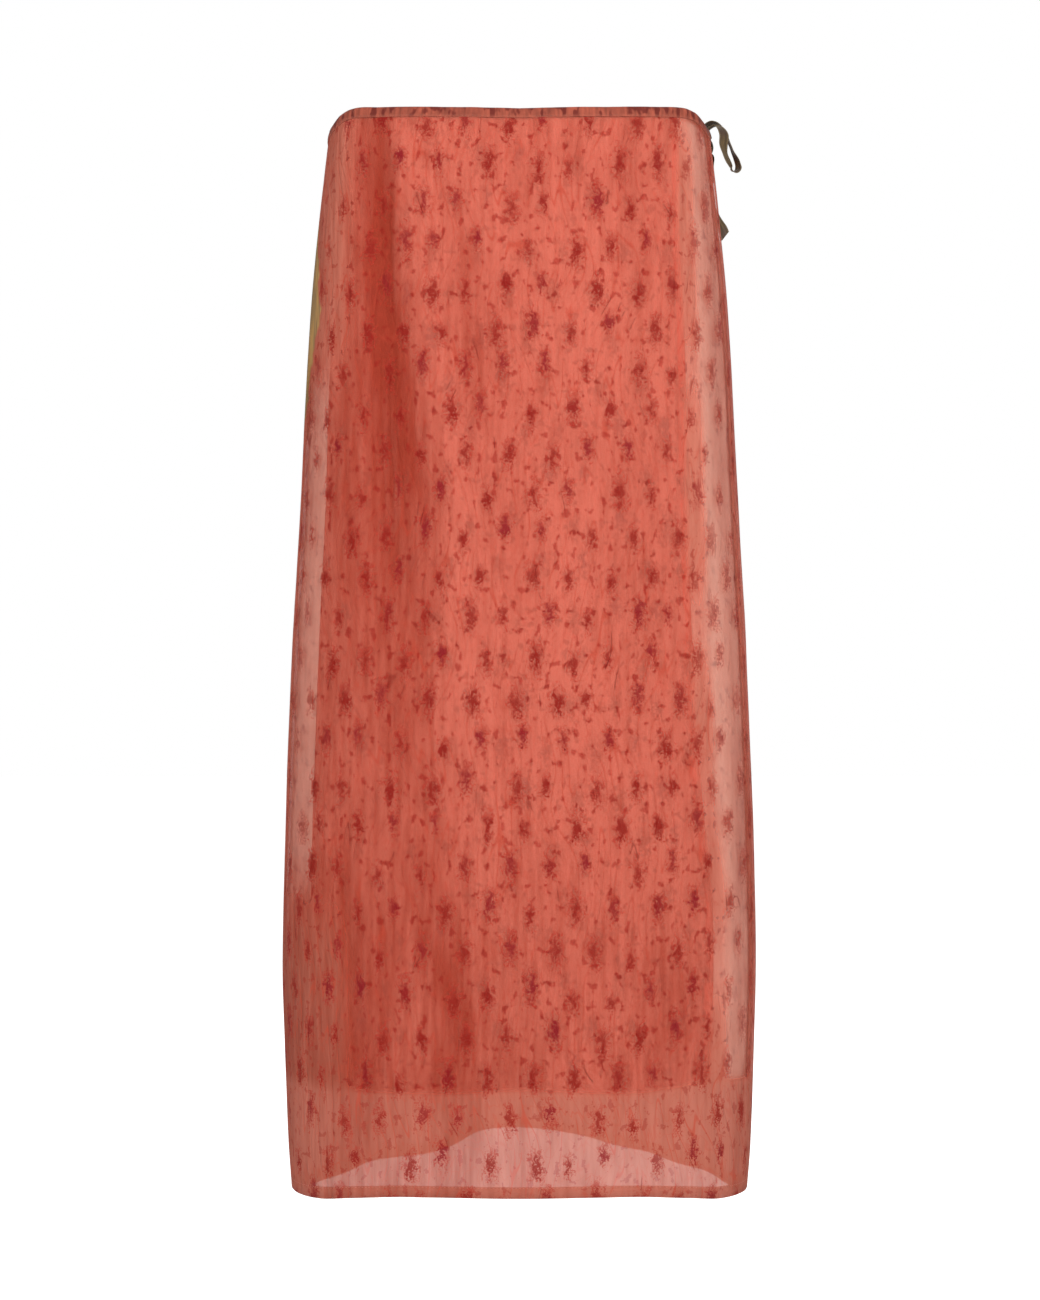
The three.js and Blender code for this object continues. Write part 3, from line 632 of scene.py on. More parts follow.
def make_panel(name, material):
    """One panel of cloth with its hem and edges turned in, as a thin shell."""
    sizes = settings().cloth
    panel = PANELS[name]
    across, down = panel_ways(panel, sizes.column_step, sizes.row_step)
    angle, share = np.meshgrid(across.stops, down.stops)
    column_ply, row_ply = np.meshgrid(across.ply, down.ply)
    points, u, v = cloth_points(panel, angle, share, column_ply + row_ply)
    ring = u[:, across.ply == 0]
    first_edge = ring.min(axis=1, keepdims=True)
    last_edge = ring.max(axis=1, keepdims=True)
    near_first = angle < (panel.start + panel.end) / 2
    flat_u = unfolded(u, column_ply, np.where(near_first, first_edge, last_edge))
    flat_v = unfolded(v, row_ply, panel.length)
    mesh = grid_mesh(name + "_cloth", points, np.stack([flat_u, -flat_v], axis=-1))
    paint(mesh, "dye", olive_dye(panel, angle, v))
    paint(mesh, "veil", cloth_veil(panel, points, angle, v))
    paint(mesh, "tone", cloth_tone(panel, points, u, v))
    paint(mesh, "faint", print_faint(panel, angle, v))
    obj = add_object(name + "_cloth", mesh, material)
    give_thickness(obj, sizes.thickness)
    finish_piece(obj, panel.slot, name)
    widths = flat_u.max(axis=1) - flat_u.min(axis=1)
    lengths = np.abs(np.diff(flat_v[:, 0]))
    area = float(np.sum((widths[1:] + widths[:-1]) / 2 * lengths))
    flat = (float(widths.max()), float(flat_v.max() - flat_v.min()))
    return obj, flat, area


# How far the olive patch reaches from the seam, in degrees, by drop.
Reach = namedtuple("Reach", "drop reach")
OLIVE_REACH = rows(
    Reach, (0.0, 0.0), (0.06, 0.0), (0.085, 9.0), (0.105, 13.5), (0.121, 15.5), (0.146, 18.0),
    (0.174, 19.2), (0.188, 17.0), (0.202, 15.4), (0.222, 14.6), (0.247, 10.0), (0.27, 0.0))


def olive_dye(panel, angle, v):
    """A long olive patch is dyed in at the left seam, and fades out unevenly round the back."""
    if panel.layer is not OUTER:
        return np.zeros_like(angle)
    ahead = (angle - LEFT_SEAM + 180) % 360 - 180
    from_seam = np.abs(ahead)
    reach = read_table(OLIVE_REACH, "reach", v)
    edge = reach + 0.8 * np.sin(v / 0.006) + 0.5 * np.sin(v / 0.0023 + 2)
    inside = (1 - smooth(edge - 2.5, edge, from_seam)) * (0.55 + 0.45 * smooth(13, 8, from_seam))
    ragged = 0.45 * edge * noise(0.003 * angle, v, 0.012, 0.045, 95)
    faded = 0.9 * (1 - smooth(0.1 * edge, 1.7 * edge, from_seam + ragged))
    return np.where(ahead > 0, inside, faded) * smooth(4, 8, reach)


def past_under_edge(angle, v):
    """Degrees past the free edge of the under wrap."""
    return angle - UNDER_RIGHT_EDGE - read_table(UNDER_EDGE_DRIFTS, "drift", v)


def cloth_tone(panel, points, u, v):
    """Lighter and darker places of the cloth: tone that differs at random, and painted light and shade in the
    folds, in soft patches, beside the broad ridge and low at the left.
    """
    seed = panel.layer.seed
    tone = 0.26 * noise(u, v, 0.045, 0.20, seed + 5) + 0.22 * noise(u, v, 0.016, 0.10, seed + 6)
    x = points[..., 0]
    drop = np.maximum(-points[..., 2], 0)
    # Painted shade in the hollows of the folds and painted light on their ridges.
    tone += FOLD_SHADE * np.clip(fold_height(points[..., :2], drop) / FULL_FOLD, -1.2, 0.8)
    if panel.layer is LINING:
        return tone
    ahead = points[..., 1] < 0
    # Soft patches of painted light and shade on the front.
    for on_side, drifts in ((ahead, FRONT_SHADE_PATCHES), (~ahead, BACK_DRIFTS)):
        total = sum(crease_height(drift, x, drop) for drift in drifts)
        tone += np.where(on_side, total, 0)
    # Painted shade darkens the front left of the broad ridge, and painted light lightens it to the right.
    left = 1 - smooth(-0.012, 0.004, x - read_table(RIDGE_SHADE_LINE, "x", drop))
    tone += np.where(ahead, RIDGE_TONE - RIDGE_SHADE * left, 0)
    if panel.name == "outer_front":
        beside = x / read_table(SECTIONS, "half_width", drop)
        wander = 0.012 * noise(u, v, 0.05, 0.09, seed + 7)
        for band in SIDE_BANDS:
            tone += band.tone * np.exp(-((beside + wander - band.beside) / band.width) ** 2)
        low = smooth(*LOW_LEFT, drop) * (1 - smooth(*LOW_LEFT_END, drop))
        tone += PALE_LEFT_TONE * smooth(*PALE_LEFT, beside + wander) * (1 - low)
        # Painted shade on the lower left of the front.
        tone -= SHADED_LOW_LEFT_TONE * smooth(*SHADED_LOW_LEFT, beside + 0.3 * wander) * low
    return tone


def print_faint(panel, angle, v):
    """Where the print is faint: on the outer cloth, past both edges of the under wrap."""
    if panel.name != "outer_front":
        return np.zeros_like(angle)
    left = smooth(-1, 2, UNDER_LEFT_EDGE - angle) * (1 - smooth(*LOW_LEFT, v))
    return np.maximum(smooth(-1, 2, past_under_edge(angle, v)), left) * (v < LINING_LENGTH)


def cloth_veil(panel, points, angle, v):
    """Where the cloth is more open: above the lining's hem, and less so low and high at the left."""
    if panel.layer is UNDER:
        edge = UNDER_RIGHT_EDGE - 2.5 + 0.25 * np.sin(v / 0.031) + 0.2 * np.sin(v / 0.013 + 1)
        return 1 - smooth(edge - 0.25, edge + 0.25, angle)
    veil = 1 - smooth(*VEIL_END, v)
    left = smooth(0.125, 0.150, -points[..., 0]) * (points[..., 1] < 0.02)
    closer = 0.92 * left * np.maximum(smooth(0.58, 0.70, v), 0.9 * (1 - smooth(0.16, 0.27, v)))
    from_seam = 90 - np.abs(np.abs((angle + 180) % 360 - 180) - 90)
    closer = np.maximum(closer, 0.75 * smooth(73, 83, from_seam))
    if panel.name == "outer_front":
        past = past_under_edge(angle, v)
        uneven = 0.55 + 0.35 * noise(np.zeros_like(v), v, 0.05, 0.07, 91)
        closer = np.maximum(closer, uneven * (1 - smooth(2.0, 6.5, past)) * smooth(-3, 0, past))
        closer = np.maximum(closer, 0.12 * (1 - smooth(-70, -62, angle)))
    return veil * (1 - closer)


# ---- Materials ----
CLOTH_MAP = "cloth"
WEAVE_DEPTH = 0.0002
PLEAT_DEPTH = 0.0016
WHITE = (1.0, 1.0, 1.0, 1.0)
OLIVE_PALE = (0.36, 0.220, 0.100, 1.0)
OLIVE_DEEP = (0.11, 0.090, 0.055, 1.0)
BAND_GATHER_SHADE = (0.13, 0.030, 0.020, 1.0)
BAND_BLOTCH = (0.105, 0.009, 0.007, 1.0)
BAND_RIM = (0.60, 0.17, 0.11, 1.0)
RIBBON_DARK = (0.055, 0.026, 0.016, 1.0)
RIBBON_EDGE = (0.21, 0.155, 0.085, 1.0)


class Nodes:
    """Adds nodes to a tree and joins them. A socket given as a value is linked."""

    def __init__(self, tree):
        self.tree = tree

    def add(self, kind, options=None, inputs=None):
        node = self.tree.nodes.new(kind)
        for name, value in (options or {}).items():
            setattr(node, name, value)
        for name, value in (inputs or {}).items():
            self.put(value, node.inputs[name])
        return node

    def put(self, value, socket):
        if isinstance(value, bpy.types.NodeSocket):
            self.tree.links.new(value, socket)
        else:
            socket.default_value = value

    def math(self, operation, *values, clamp=False):
        options = {"operation": operation, "use_clamp": clamp}
        return self.add("ShaderNodeMath", options, dict(enumerate(values))).outputs[0]

    def times(self, first, second):
        return self.math("MULTIPLY", first, second)

    def plus(self, first, second):
        return self.math("ADD", first, second)

    def less(self, first, second):
        return self.math("SUBTRACT", first, second)

    def larger(self, first, second):
        return self.math("MAXIMUM", first, second)

    def from_half(self, value):
        """How far a value is from a half, which draws lines through the middle of a noise."""
        return self.math("ABSOLUTE", self.plus(value, -0.5))

    def step(self, value, low, high, to_low=0.0, to_high=1.0):
        """Smooth step from to_low at low to to_high at high."""
        inputs = {"Value": value, "From Min": low, "From Max": high, "To Min": to_low, "To Max": to_high}
        options = {"interpolation_type": "SMOOTHSTEP", "clamp": True}
        return self.add("ShaderNodeMapRange", options, inputs).outputs["Result"]

    def fade(self, share, at_none, at_full):
        """Smooth step from at_none where the share is 0 to at_full where it is 1."""
        return self.step(share, 0.0, 1.0, at_none, at_full)

    def mix(self, factor, first, second):
        """A mix of two colours."""
        inputs = {0: factor, 6: first, 7: second}
        return self.add("ShaderNodeMix", {"data_type": "RGBA"}, inputs).outputs[2]

    def vector(self, operation, *values):
        node = self.add("ShaderNodeVectorMath", {"operation": operation}, dict(enumerate(values)))
        return node.outputs["Value" if operation == "LENGTH" else "Vector"]

    def parts(self, vector):
        return self.add("ShaderNodeSeparateXYZ", None, {"Vector": vector}).outputs

    def joined(self, x, y=0.0):
        return self.add("ShaderNodeCombineXYZ", None, {"X": x, "Y": y}).outputs[0]

    def noise(self, place, scale, detail=0.0, stretch=None):
        if stretch is not None:
            place = self.vector("MULTIPLY", place, stretch)
        inputs = {"Vector": place, "Scale": scale, "Detail": detail}
        return self.add("ShaderNodeTexNoise", {"noise_dimensions": "2D"}, inputs).outputs["Fac"]

    def cells(self, place, width, length, detail=0.0):
        """Noise in cells of a width across and a length down the cloth."""
        return self.noise(place, 1.0, detail, (1 / width, 1 / length, 1.0))

    def cloth(self):
        """Distances across and down the flat cloth."""
        return self.add("ShaderNodeUVMap", {"uv_map": CLOTH_MAP}).outputs[0]

    def painted(self, name):
        """A number that paint keeps at each point."""
        return self.add("ShaderNodeAttribute", {"attribute_name": name}).outputs["Fac"]

    def bump(self, strength, distance, height):
        inputs = {"Strength": strength, "Distance": distance, "Height": height}
        return self.add("ShaderNodeBump", None, inputs).outputs["Normal"]

    def surface(self, base, roughness, more):
        inputs = {"Base Color": base, "Roughness": roughness, **more}
        return self.add("ShaderNodeBsdfPrincipled", None, inputs).outputs[0]

    def blend(self, factor, first, second):
        """A mix of two shaders."""
        return self.add("ShaderNodeMixShader", None, {0: factor, 1: first, 2: second}).outputs[0]

    def finish(self, surface):
        self.add("ShaderNodeOutputMaterial", None, {"Surface": surface})


def colour(value, *factors):
    """A colour with its alpha, each part times its own factor, or all parts times one."""
    factors = factors * 3 if len(factors) == 1 else factors or (1.0, 1.0, 1.0)
    return (*(min(1.0, part * factor) for part, factor in zip(value, factors)), 1.0)


def new_material(name):
    material = bpy.data.materials.new(name)
    material.use_nodes = True
    material.node_tree.nodes.clear()
    return material, Nodes(material.node_tree)


def spray_masks(nodes, place, scale, shift, grain, patch):
    """Upright sprays in staggered rows, each a heart in ragged strokes, and a pick from 0 to 1."""
    column = SPRAY_COLUMN * scale
    row = SPRAY_ROW * scale
    moved = nodes.parts(nodes.vector("ADD", place, shift))
    down = nodes.times(moved["Y"], 1 / row)
    along = nodes.plus(nodes.times(moved["X"], 1 / column), nodes.times(down, SPRAY_STAGGER))
    lattice = nodes.joined(along, down)
    cells = nodes.add(
        "ShaderNodeTexVoronoi", {"voronoi_dimensions": "2D", "feature": "F1"},
        {"Vector": lattice, "Scale": 1.0, "Randomness": SPRAY_STRAY}).outputs
    pick = nodes.add("ShaderNodeSeparateColor", None, {"Color": cells["Color"]}).outputs
    offset = nodes.parts(nodes.vector("SUBTRACT", lattice, cells["Position"]))
    x = nodes.math("MULTIPLY_ADD", offset["Y"], -SPRAY_STAGGER, offset["X"])
    x = nodes.times(x, column / SPRAY_HALF_WIDTH / scale)
    y = nodes.times(offset["Y"], row / SPRAY_HALF_HEIGHT / scale)
    x = nodes.plus(x, nodes.step(patch, 0.25, 0.75, -0.30, 0.30))
    y = nodes.plus(y, nodes.step(grain, 0.25, 0.75, -0.14, 0.14))
    away = nodes.vector("LENGTH", nodes.joined(x, y))
    away = nodes.math("DIVIDE", away, nodes.fade(pick[0], 0.78, 1.18))
    turn = nodes.math("ARCTAN2", x, y)
    fan = nodes.joined(
        nodes.plus(nodes.times(turn, 4.4), nodes.times(pick[1], 40.0)),
        nodes.plus(nodes.times(away, 2.4), nodes.times(pick[2], 40.0)))
    lobes = nodes.step(nodes.noise(fan, 0.62), 0.30, 0.70, 0.50, 1.12)
    strokes = nodes.plus(nodes.noise(fan, 2.1, 1.0), -0.5)
    rough = nodes.times(nodes.plus(grain, -0.5), 0.9)
    reach = nodes.plus(nodes.plus(lobes, nodes.times(strokes, 1.9)), rough)
    petals = nodes.step(nodes.less(away, reach), 0.02, -0.10)
    inner = nodes.plus(nodes.times(lobes, 0.62), nodes.times(nodes.plus(strokes, rough), 0.55))
    heart = nodes.step(nodes.less(away, inner), 0.12, -0.20)
    heart = nodes.times(heart, nodes.fade(pick[2], 0.70, 1.0))
    return heart, petals, pick[1]


def fleck_mask(nodes, place, shift, grain):
    """Small ragged flecks scattered between the sprays."""
    spots = nodes.cells(nodes.vector("ADD", place, shift), 0.0072, 0.0088, 1.0)
    return nodes.step(nodes.plus(spots, nodes.times(grain, 0.17)), 0.735, 0.800)


def crease_lines(nodes, place):
    """Hair fine creases that break off down the cloth, and a few deep ones: lines of painted shade along the
    furrows of the crinkle.
    """
    sway = nodes.joined(nodes.fade(nodes.noise(place, 11.0), -0.014, 0.014))
    swayed = nodes.vector("ADD", place, sway)
    wide, fine, veins = (
        nodes.from_half(nodes.cells(swayed, *cell))
        for cell in ((0.0105, 0.075), (0.0052, 0.036, 1.0), (0.013, 0.021, 1.0)))
    broken = nodes.cells(place, 0.022, 0.048, 1.0)
    wide_line = nodes.step(wide, 0.034, 0.006)
    hair = nodes.times(wide_line, nodes.step(broken, 0.60, 0.44))
    thin = nodes.times(nodes.step(fine, 0.032, 0.0), nodes.step(broken, 0.44, 0.60))
    deep = nodes.times(wide_line, nodes.step(broken, 0.69, 0.75))
    thin = nodes.larger(nodes.times(thin, 0.75), nodes.times(nodes.step(veins, 0.030, 0.0), 0.40))
    return nodes.larger(hair, thin), deep, wide


def silk_surface(nodes, base, alpha, height, depth, roughness, glow, sheen):
    """Thin silk: a soft surface that lets some light through and some of what is behind it show."""
    surface = nodes.surface(base, roughness, {
        "Sheen Weight": sheen,
        "Sheen Roughness": 0.4,
        "Specular IOR Level": 0.06,
        "Normal": nodes.bump(0.6, depth, height),
    })
    through = nodes.add("ShaderNodeBsdfTranslucent", None, {"Color": base}).outputs[0]
    clear = nodes.add("ShaderNodeBsdfTransparent").outputs[0]
    nodes.finish(nodes.blend(alpha, clear, nodes.blend(glow, surface, through)))


def printed_silk(name, ground, print_scale, density, shift, doubled, dyed=False):
    """Crinkled silk printed with ragged sprays.

    density is how much one face hides where the veil is 0 and where it is 1. doubled is the colour
    that is mixed in where the veil is 0, and how much of it.
    """
    material, nodes = new_material(name)
    colours = settings().colours
    place = nodes.cloth()
    grain = nodes.noise(place, 620.0)
    patch = nodes.noise(place, 190.0)
    heart, petals, pick = spray_masks(nodes, place, print_scale, shift, grain, patch)
    flecks = fleck_mask(nodes, place, shift, grain)
    hair, deep, furrow = crease_lines(nodes, place)
    pleat = nodes.cells(place, 0.0050, 0.050, 2.0)
    veil = nodes.painted("veil")
    # Painted shade and light: the crinkle's pleats, which also give the bump, and the tone make the ground
    # darker or lighter.
    shade = nodes.plus(nodes.times(nodes.plus(pleat, -0.5), 1.6), nodes.painted("tone"))
    light = [part * 1.06 + 0.030 for part in ground]
    base = nodes.mix(nodes.step(shade, -1.8, 0.95), colour(ground, *SHADED_GROUND), colour(light))
    base = nodes.mix(nodes.step(veil, 0.6, 0.0, 0.0, doubled[3]), base, colour(doubled))
    # Painted shade in the hair fine creases.
    base = nodes.mix(nodes.times(hair, HAIR_SHADE_AMOUNT), base, colour(ground, *HAIR_SHADE_GROUND))
    strength = nodes.fade(nodes.painted("faint"), 1.0, FAINT_AMOUNT)
    strength = nodes.times(strength, nodes.fade(veil, *SPRAY_AMOUNTS))
    heart = nodes.times(heart, strength)
    petals = nodes.times(petals, strength)
    flecks = nodes.times(flecks, nodes.fade(veil, *FLECK_AMOUNTS))
    middle = nodes.mix(nodes.step(pick, 0.55, 0.75), colour(colours.heart), colour(colours.plum))
    # The deep creases get painted shade in the heart's dark red.
    for amount, tint in (
            (flecks, colour(colours.fleck)),
            (nodes.times(petals, PETAL_AMOUNT), colour(colours.petal)),
            (nodes.times(heart, HEART_AMOUNT), middle),
            (nodes.times(deep, CREASE_SHADE_AMOUNT), colour(colours.heart))):
        base = nodes.mix(amount, base, tint)
    marks = nodes.larger(nodes.larger(nodes.times(petals, 0.60), heart), nodes.times(deep, 0.45))
    alpha = nodes.plus(nodes.fade(veil, *density), nodes.times(shade, -0.05))
    if dyed:
        dye = nodes.painted("dye")
        streaks = nodes.noise(place, 60.0, 2.0, (3.0, 0.3, 1.0))
        olive = nodes.mix(nodes.step(streaks, 0.40, 0.60), OLIVE_PALE, colour(colours.olive))
        olive = nodes.mix(nodes.step(dye, 0.72, 1.0, 0.0, 0.7), olive, OLIVE_DEEP)
        base = nodes.mix(nodes.step(dye, 0.05, 0.45), base, olive)
        alpha = nodes.plus(alpha, nodes.times(dye, 0.45))
    room = nodes.less(0.97, alpha)
    alpha = nodes.math("ADD", alpha, nodes.times(room, nodes.times(marks, 0.9)), clamp=True)
    height = nodes.plus(pleat, nodes.times(nodes.step(furrow, 0.0, 0.12), 0.35))
    silk_surface(nodes, base, alpha, height, PLEAT_DEPTH, 0.65, 0.10, 0.0)
    return material


def lining_silk():
    """Plain pale lining with a soft sheen and a fine rib."""
    material, nodes = new_material("Pale lining silk")
    pale = settings().colours.lining
    rib = nodes.noise(nodes.cloth(), 700.0, 1.0, (1.0, 0.15, 1.0))
    # The tone darkens the lining in the hollows of its folds as painted shade, lightens it on their ridges as
    # painted light, and varies it at random.
    base = nodes.mix(nodes.step(nodes.painted("tone"), -0.8, 0.8), colour(pale, 0.9), colour(pale, 1.06))
    base = nodes.mix(nodes.step(rib, 0.4, 0.7, 0.0, 0.25), base, colour(pale, 0.8))
    alpha = nodes.step(rib, 0.3, 0.7, 0.86, 0.94)
    silk_surface(nodes, base, alpha, rib, WEAVE_DEPTH, 0.5, 0.12, 0.3)
    return material


def band_silk():
    """Gathered binding of the waist: dusky rose with painted shade in the hollows between the gathers."""
    material, nodes = new_material("Gathered waistband silk")
    band = settings().colours.band
    place = nodes.cloth()
    streak = nodes.noise(place, 260.0, 2.0, (1.0, 0.2, 1.0))
    blotch = nodes.cells(place, 0.0085, 0.020, 2.0)
    base = nodes.mix(nodes.step(streak, 0.3, 0.7), colour(band, 0.8), colour(band, 1.3))
    # Painted shade in the hollows between the gathers.
    base = nodes.mix(nodes.times(nodes.painted("gather_shade"), 0.35), base, BAND_GATHER_SHADE)
    base = nodes.mix(nodes.step(blotch, 0.52, 0.61, 0.0, 0.80), base, BAND_BLOTCH)
    base = nodes.mix(nodes.times(nodes.painted("rim"), 0.45), base, BAND_RIM)
    nodes.finish(nodes.surface(base, 0.68, {
        "Sheen Weight": 0.08,
        "Specular IOR Level": 0.12,
        "Normal": nodes.bump(0.4, WEAVE_DEPTH, nodes.noise(place, 1400.0, 1.0)),
    }))
    return material


def ribbon_satin():
    """Dull satin ribbon: olive brown, darker in the middle, with firm pale edges."""
    material, nodes = new_material("Olive ribbon satin")
    ribbon = settings().colours.ribbon
    place = nodes.cloth()
    edge = nodes.step(nodes.math("ABSOLUTE", nodes.parts(place)["X"]), 0.0036, 0.0046)
    streak = nodes.noise(place, 300.0, 2.0, (2.0, 0.12, 1.0))
    shade = nodes.noise(place, 45.0, 1.0)
    base = nodes.mix(nodes.step(streak, 0.3, 0.7), colour(ribbon, 0.40), colour(ribbon, 0.95))
    base = nodes.mix(nodes.step(shade, 0.44, 0.62, 0.0, 0.75), base, RIBBON_DARK)
    base = nodes.mix(nodes.times(edge, 0.6), base, RIBBON_EDGE)
    nodes.finish(nodes.surface(base, 0.52, {
        "Sheen Weight": 0.1,
        "Specular IOR Level": 0.3,
        "Normal": nodes.bump(0.35, WEAVE_DEPTH, nodes.noise(place, 1500.0, 0.0, (0.3, 1.0, 1.0))),
    }))
    return material


def thread_material(name, tint):
    """Twisted sewing thread."""
    material, nodes = new_material(name)
    place = nodes.add("ShaderNodeTexCoord").outputs["Object"]
    twist = nodes.add("ShaderNodeTexNoise", None, {"Vector": place, "Scale": 2400.0, "Detail": 0.0})
    base = nodes.mix(nodes.step(twist.outputs["Fac"], 0.35, 0.65), colour(tint, 0.75), colour(tint, 1.15))
    nodes.finish(nodes.surface(base, 0.6, {"Sheen Weight": 0.3}))
    return material


# ---- Waistband ----
BAND_STEP = 0.0011
# Share of the skirt's length at which the band's own length is measured.
BAND_LEVEL = 0.004

# The binding in section, from its inner lower edge over the top to its outer lower edge, with
# the lower edges turned in. share is of its height from the top, and out is outwards.
BandLine = namedtuple("BandLine", "share out")
BAND_SECTION = rows(
    BandLine, (0.9, -0.0044), (1.0, -0.0048), (0.85, -0.0053), (0.55, -0.0055), (0.28, -0.0053),
    (0.1, -0.0047), (0.0, -0.0038), (-0.04, -0.0027), (-0.02, -0.0014), (0.05, -0.0004), (0.16, 0.0003),
    (0.32, 0.0007), (0.5, 0.0009), (0.7, 0.0009), (0.88, 0.0007), (1.0, 0.0004), (1.02, -0.0001),
    (0.9, -0.0004))


def make_waistband(name, start, end, middle, material):
    """Half of the gathered binding that closes over the tops of all the layers."""
    sizes = settings().cloth
    angles = even_angles(start + SEAM_CLEARANCE, end - SEAM_CLEARANCE, BAND_STEP, share=0.0)
    share = np.array([line.share for line in BAND_SECTION]) * BAND_HEIGHT / LENGTH
    out = np.array([line.out for line in BAND_SECTION])
    lap = np.concatenate([[0], np.cumsum(np.hypot(np.diff(share) * LENGTH, np.diff(out)))])
    angle_grid, share_grid = np.meshgrid(angles, share)
    out_grid, lap_grid = (np.repeat(values[:, None], len(angles), axis=1) for values in (out, lap))
    level = run_from_middle(angle_grid[:1], np.full((1, len(angles)), BAND_LEVEL), middle)
    u = np.repeat(level, len(share), axis=0)
    gathers = noise(u + 0.05 * lap_grid, lap_grid, 0.0060, 0.007, 71)
    pleats = smooth(0.72, 1.0, 1 - np.abs(noise(u, lap_grid, 0.019, 0.03, 72)))
    height = sizes.gather * (0.8 * gathers - 1.1 * pleats)
    points = skirt_points(angle_grid, share_grid, out_grid + height)
    points[..., 2] += 0.00010 * noise(u, lap_grid, 0.012, 0.5, 73)
    mesh = grid_mesh(name + "_binding", points, np.stack([u, -lap_grid], axis=-1))
    # Where the gathers and pleats sink in, for the painted shade in their hollows.
    paint(mesh, "gather_shade", np.clip(pleats * 0.9 + smooth(0.2, 0.9, -gathers) * 0.35, 0, 1))
    paint(mesh, "rim", smooth(0.84, 0.95, share_grid * LENGTH / BAND_HEIGHT) * (out_grid > -0.002))
    obj = add_object(name + "_binding", mesh, material)
    give_thickness(obj, sizes.thickness)
    finish_piece(obj, "waistband", name)


# ---- Ribbon ----
# Stations along each piece of ribbon: place from the knot, direction of the width, and width.
Station = namedtuple("Station", "x y z wx wy wz width")
FULL = 0.010
RIBBON_COLUMNS = 9
RIBBON_CUP = 0.0005
RIBBON_PLEAT = 0.0012
RIBBON_WAVE = 0.0003
SLANT_RUN = 0.012
TAIL_SLANT = -0.6
FRONT_LOOP = rows(
    Station, (-0.0013, -0.0044, 0.004, 0.1, 0.3, 1, 0.005),
    (-0.0036, -0.0125, 0.0102, 0.1, 0.25, 1, 0.008), (0.0006, -0.0205, 0.0134, 0.3, 0.9, 0.4, FULL),
    (0.0056, -0.0285, 0.0126, 0.7, 0.7, 0, FULL), (0.0096, -0.0336, 0.005, 0.8, 0.6, 0.1, FULL),
    (0.009, -0.036, -0.0046, 0.72, 0.68, 0, FULL), (0.01, -0.0372, -0.0115, 0.5, 0.85, 0.1, 0.0094),
    (0.0132, -0.0372, -0.019, 0.42, 0.85, 0.3, 0.0094), (0.0174, -0.0344, -0.0254, 0.1, 0.9, 0.35, FULL),
    (0.0214, -0.0296, -0.0242, -0.3, 0.92, 0.15, FULL), (0.022, -0.0264, -0.0184, -0.3, 0.94, 0, FULL),
    (0.0186, -0.0238, -0.0095, -0.12, 0.98, 0, FULL), (0.0154, -0.0216, -0.0005, -0.1, 0.98, 0, FULL),
    (0.0112, -0.0194, 0.0092, -0.1, 0.98, -0.05, FULL),
    (0.0064, -0.0174, 0.0154, -0.1, 0.98, -0.1, FULL), (0.0012, -0.014, 0.0179, 0, 0.98, -0.2, FULL),
    (-0.0028, -0.0086, 0.0156, 0.2, 0.9, -0.4, 0.008), (-0.0006, -0.0016, 0.0072, 0.9, 0.1, -0.2, 0.005))
BACK_LOOP = rows(
    Station, (0.0, 0.0058, 0.0026, 0, 0.3, 1, 0.005), (0.0004, 0.013, 0.0055, 0, 0.2, 1, 0.009),
    (-0.0006, 0.022, 0.0025, -0.3, 0.6, 0.7, FULL), (-0.0026, 0.029, -0.008, -0.4, 0.9, 0.2, FULL),
    (-0.0022, 0.0315, -0.022, -0.4, 0.95, 0, FULL), (0.0018, 0.031, -0.029, -0.4, 0.95, 0, FULL),
    (0.0044, 0.027, -0.02, -0.3, 0.95, 0.1, FULL), (0.0026, 0.0195, -0.0075, -0.2, 0.9, 0.4, FULL),
    (0.0014, 0.012, -0.0035, 0, 0.4, 1, 0.007), (0.0005, 0.0058, -0.0028, 0, 0.3, 1, 0.005))
FRONT_TAIL = rows(
    Station, (0.0008, -0.0028, -0.0071, -0.5, 1, 0, 0.005), (0.0028, -0.007, -0.0106, -0.2, 1, 0, 0.006),
    (0.0025, -0.006, -0.017, -0.1, 1, 0, 0.007), (0.0023, -0.0024, -0.025, 0, 1, 0, 0.0084),
    (0.0026, 0.0, -0.036, 0, 1, 0, 0.0094), (0.0042, 0.0006, -0.048, 0.1, 1, 0.05, FULL),
    (0.0074, 0.0008, -0.059, 0.4, 0.85, 0.2, FULL), (0.011, 0.0002, -0.069, 0.72, 0.5, 0.35, FULL),
    (0.0136, -0.0006, -0.076, 0.8, 0.3, 0.5, 0.0094))
BACK_TAIL = rows(
    Station, (-0.0003, 0.0034, -0.0063, -0.1, 1, 0.2, 0.0045),
    (0.0008, 0.0095, -0.024, -0.2, 1, 0.1, 0.007), (0.003, 0.015, -0.052, -0.2, 1, 0, FULL),
    (0.006, 0.016, -0.08, -0.1, 1, 0, FULL), (0.009, 0.0165, -0.104, 0, 1, 0.15, FULL))
RIBBONS = {
    "tie_loop_front": FRONT_LOOP,
    "tie_loop_back": BACK_LOOP,
    "tie_tail_front": FRONT_TAIL,
    "tie_tail_back": BACK_TAIL,
}


def knot_centre():
    low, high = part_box("tie_knot")
    return (np.array(low) + np.array(high)) / 2


def spline(values, count):
    """Catmull-Rom curve through the values, read at count even parameters."""
    values = np.asarray(values, dtype=float)
    ends = np.vstack([2 * values[0] - values[1], values, 2 * values[-1] - values[-2]])
    at = np.linspace(0, len(values) - 1, count)
    i = np.minimum(at.astype(int), len(values) - 2)
    t = (at - i)[:, None]
    a, b, c, d = ends[i], ends[i + 1], ends[i + 2], ends[i + 3]
    squared = (2 * a - 5 * b + 4 * c - d) * t ** 2
    cubed = (3 * b - a - 3 * c + d) * t ** 3
    return 0.5 * (2 * b + (c - a) * t + squared + cubed)


def unit(vectors):
    return vectors / np.linalg.norm(vectors, axis=-1, keepdims=True)


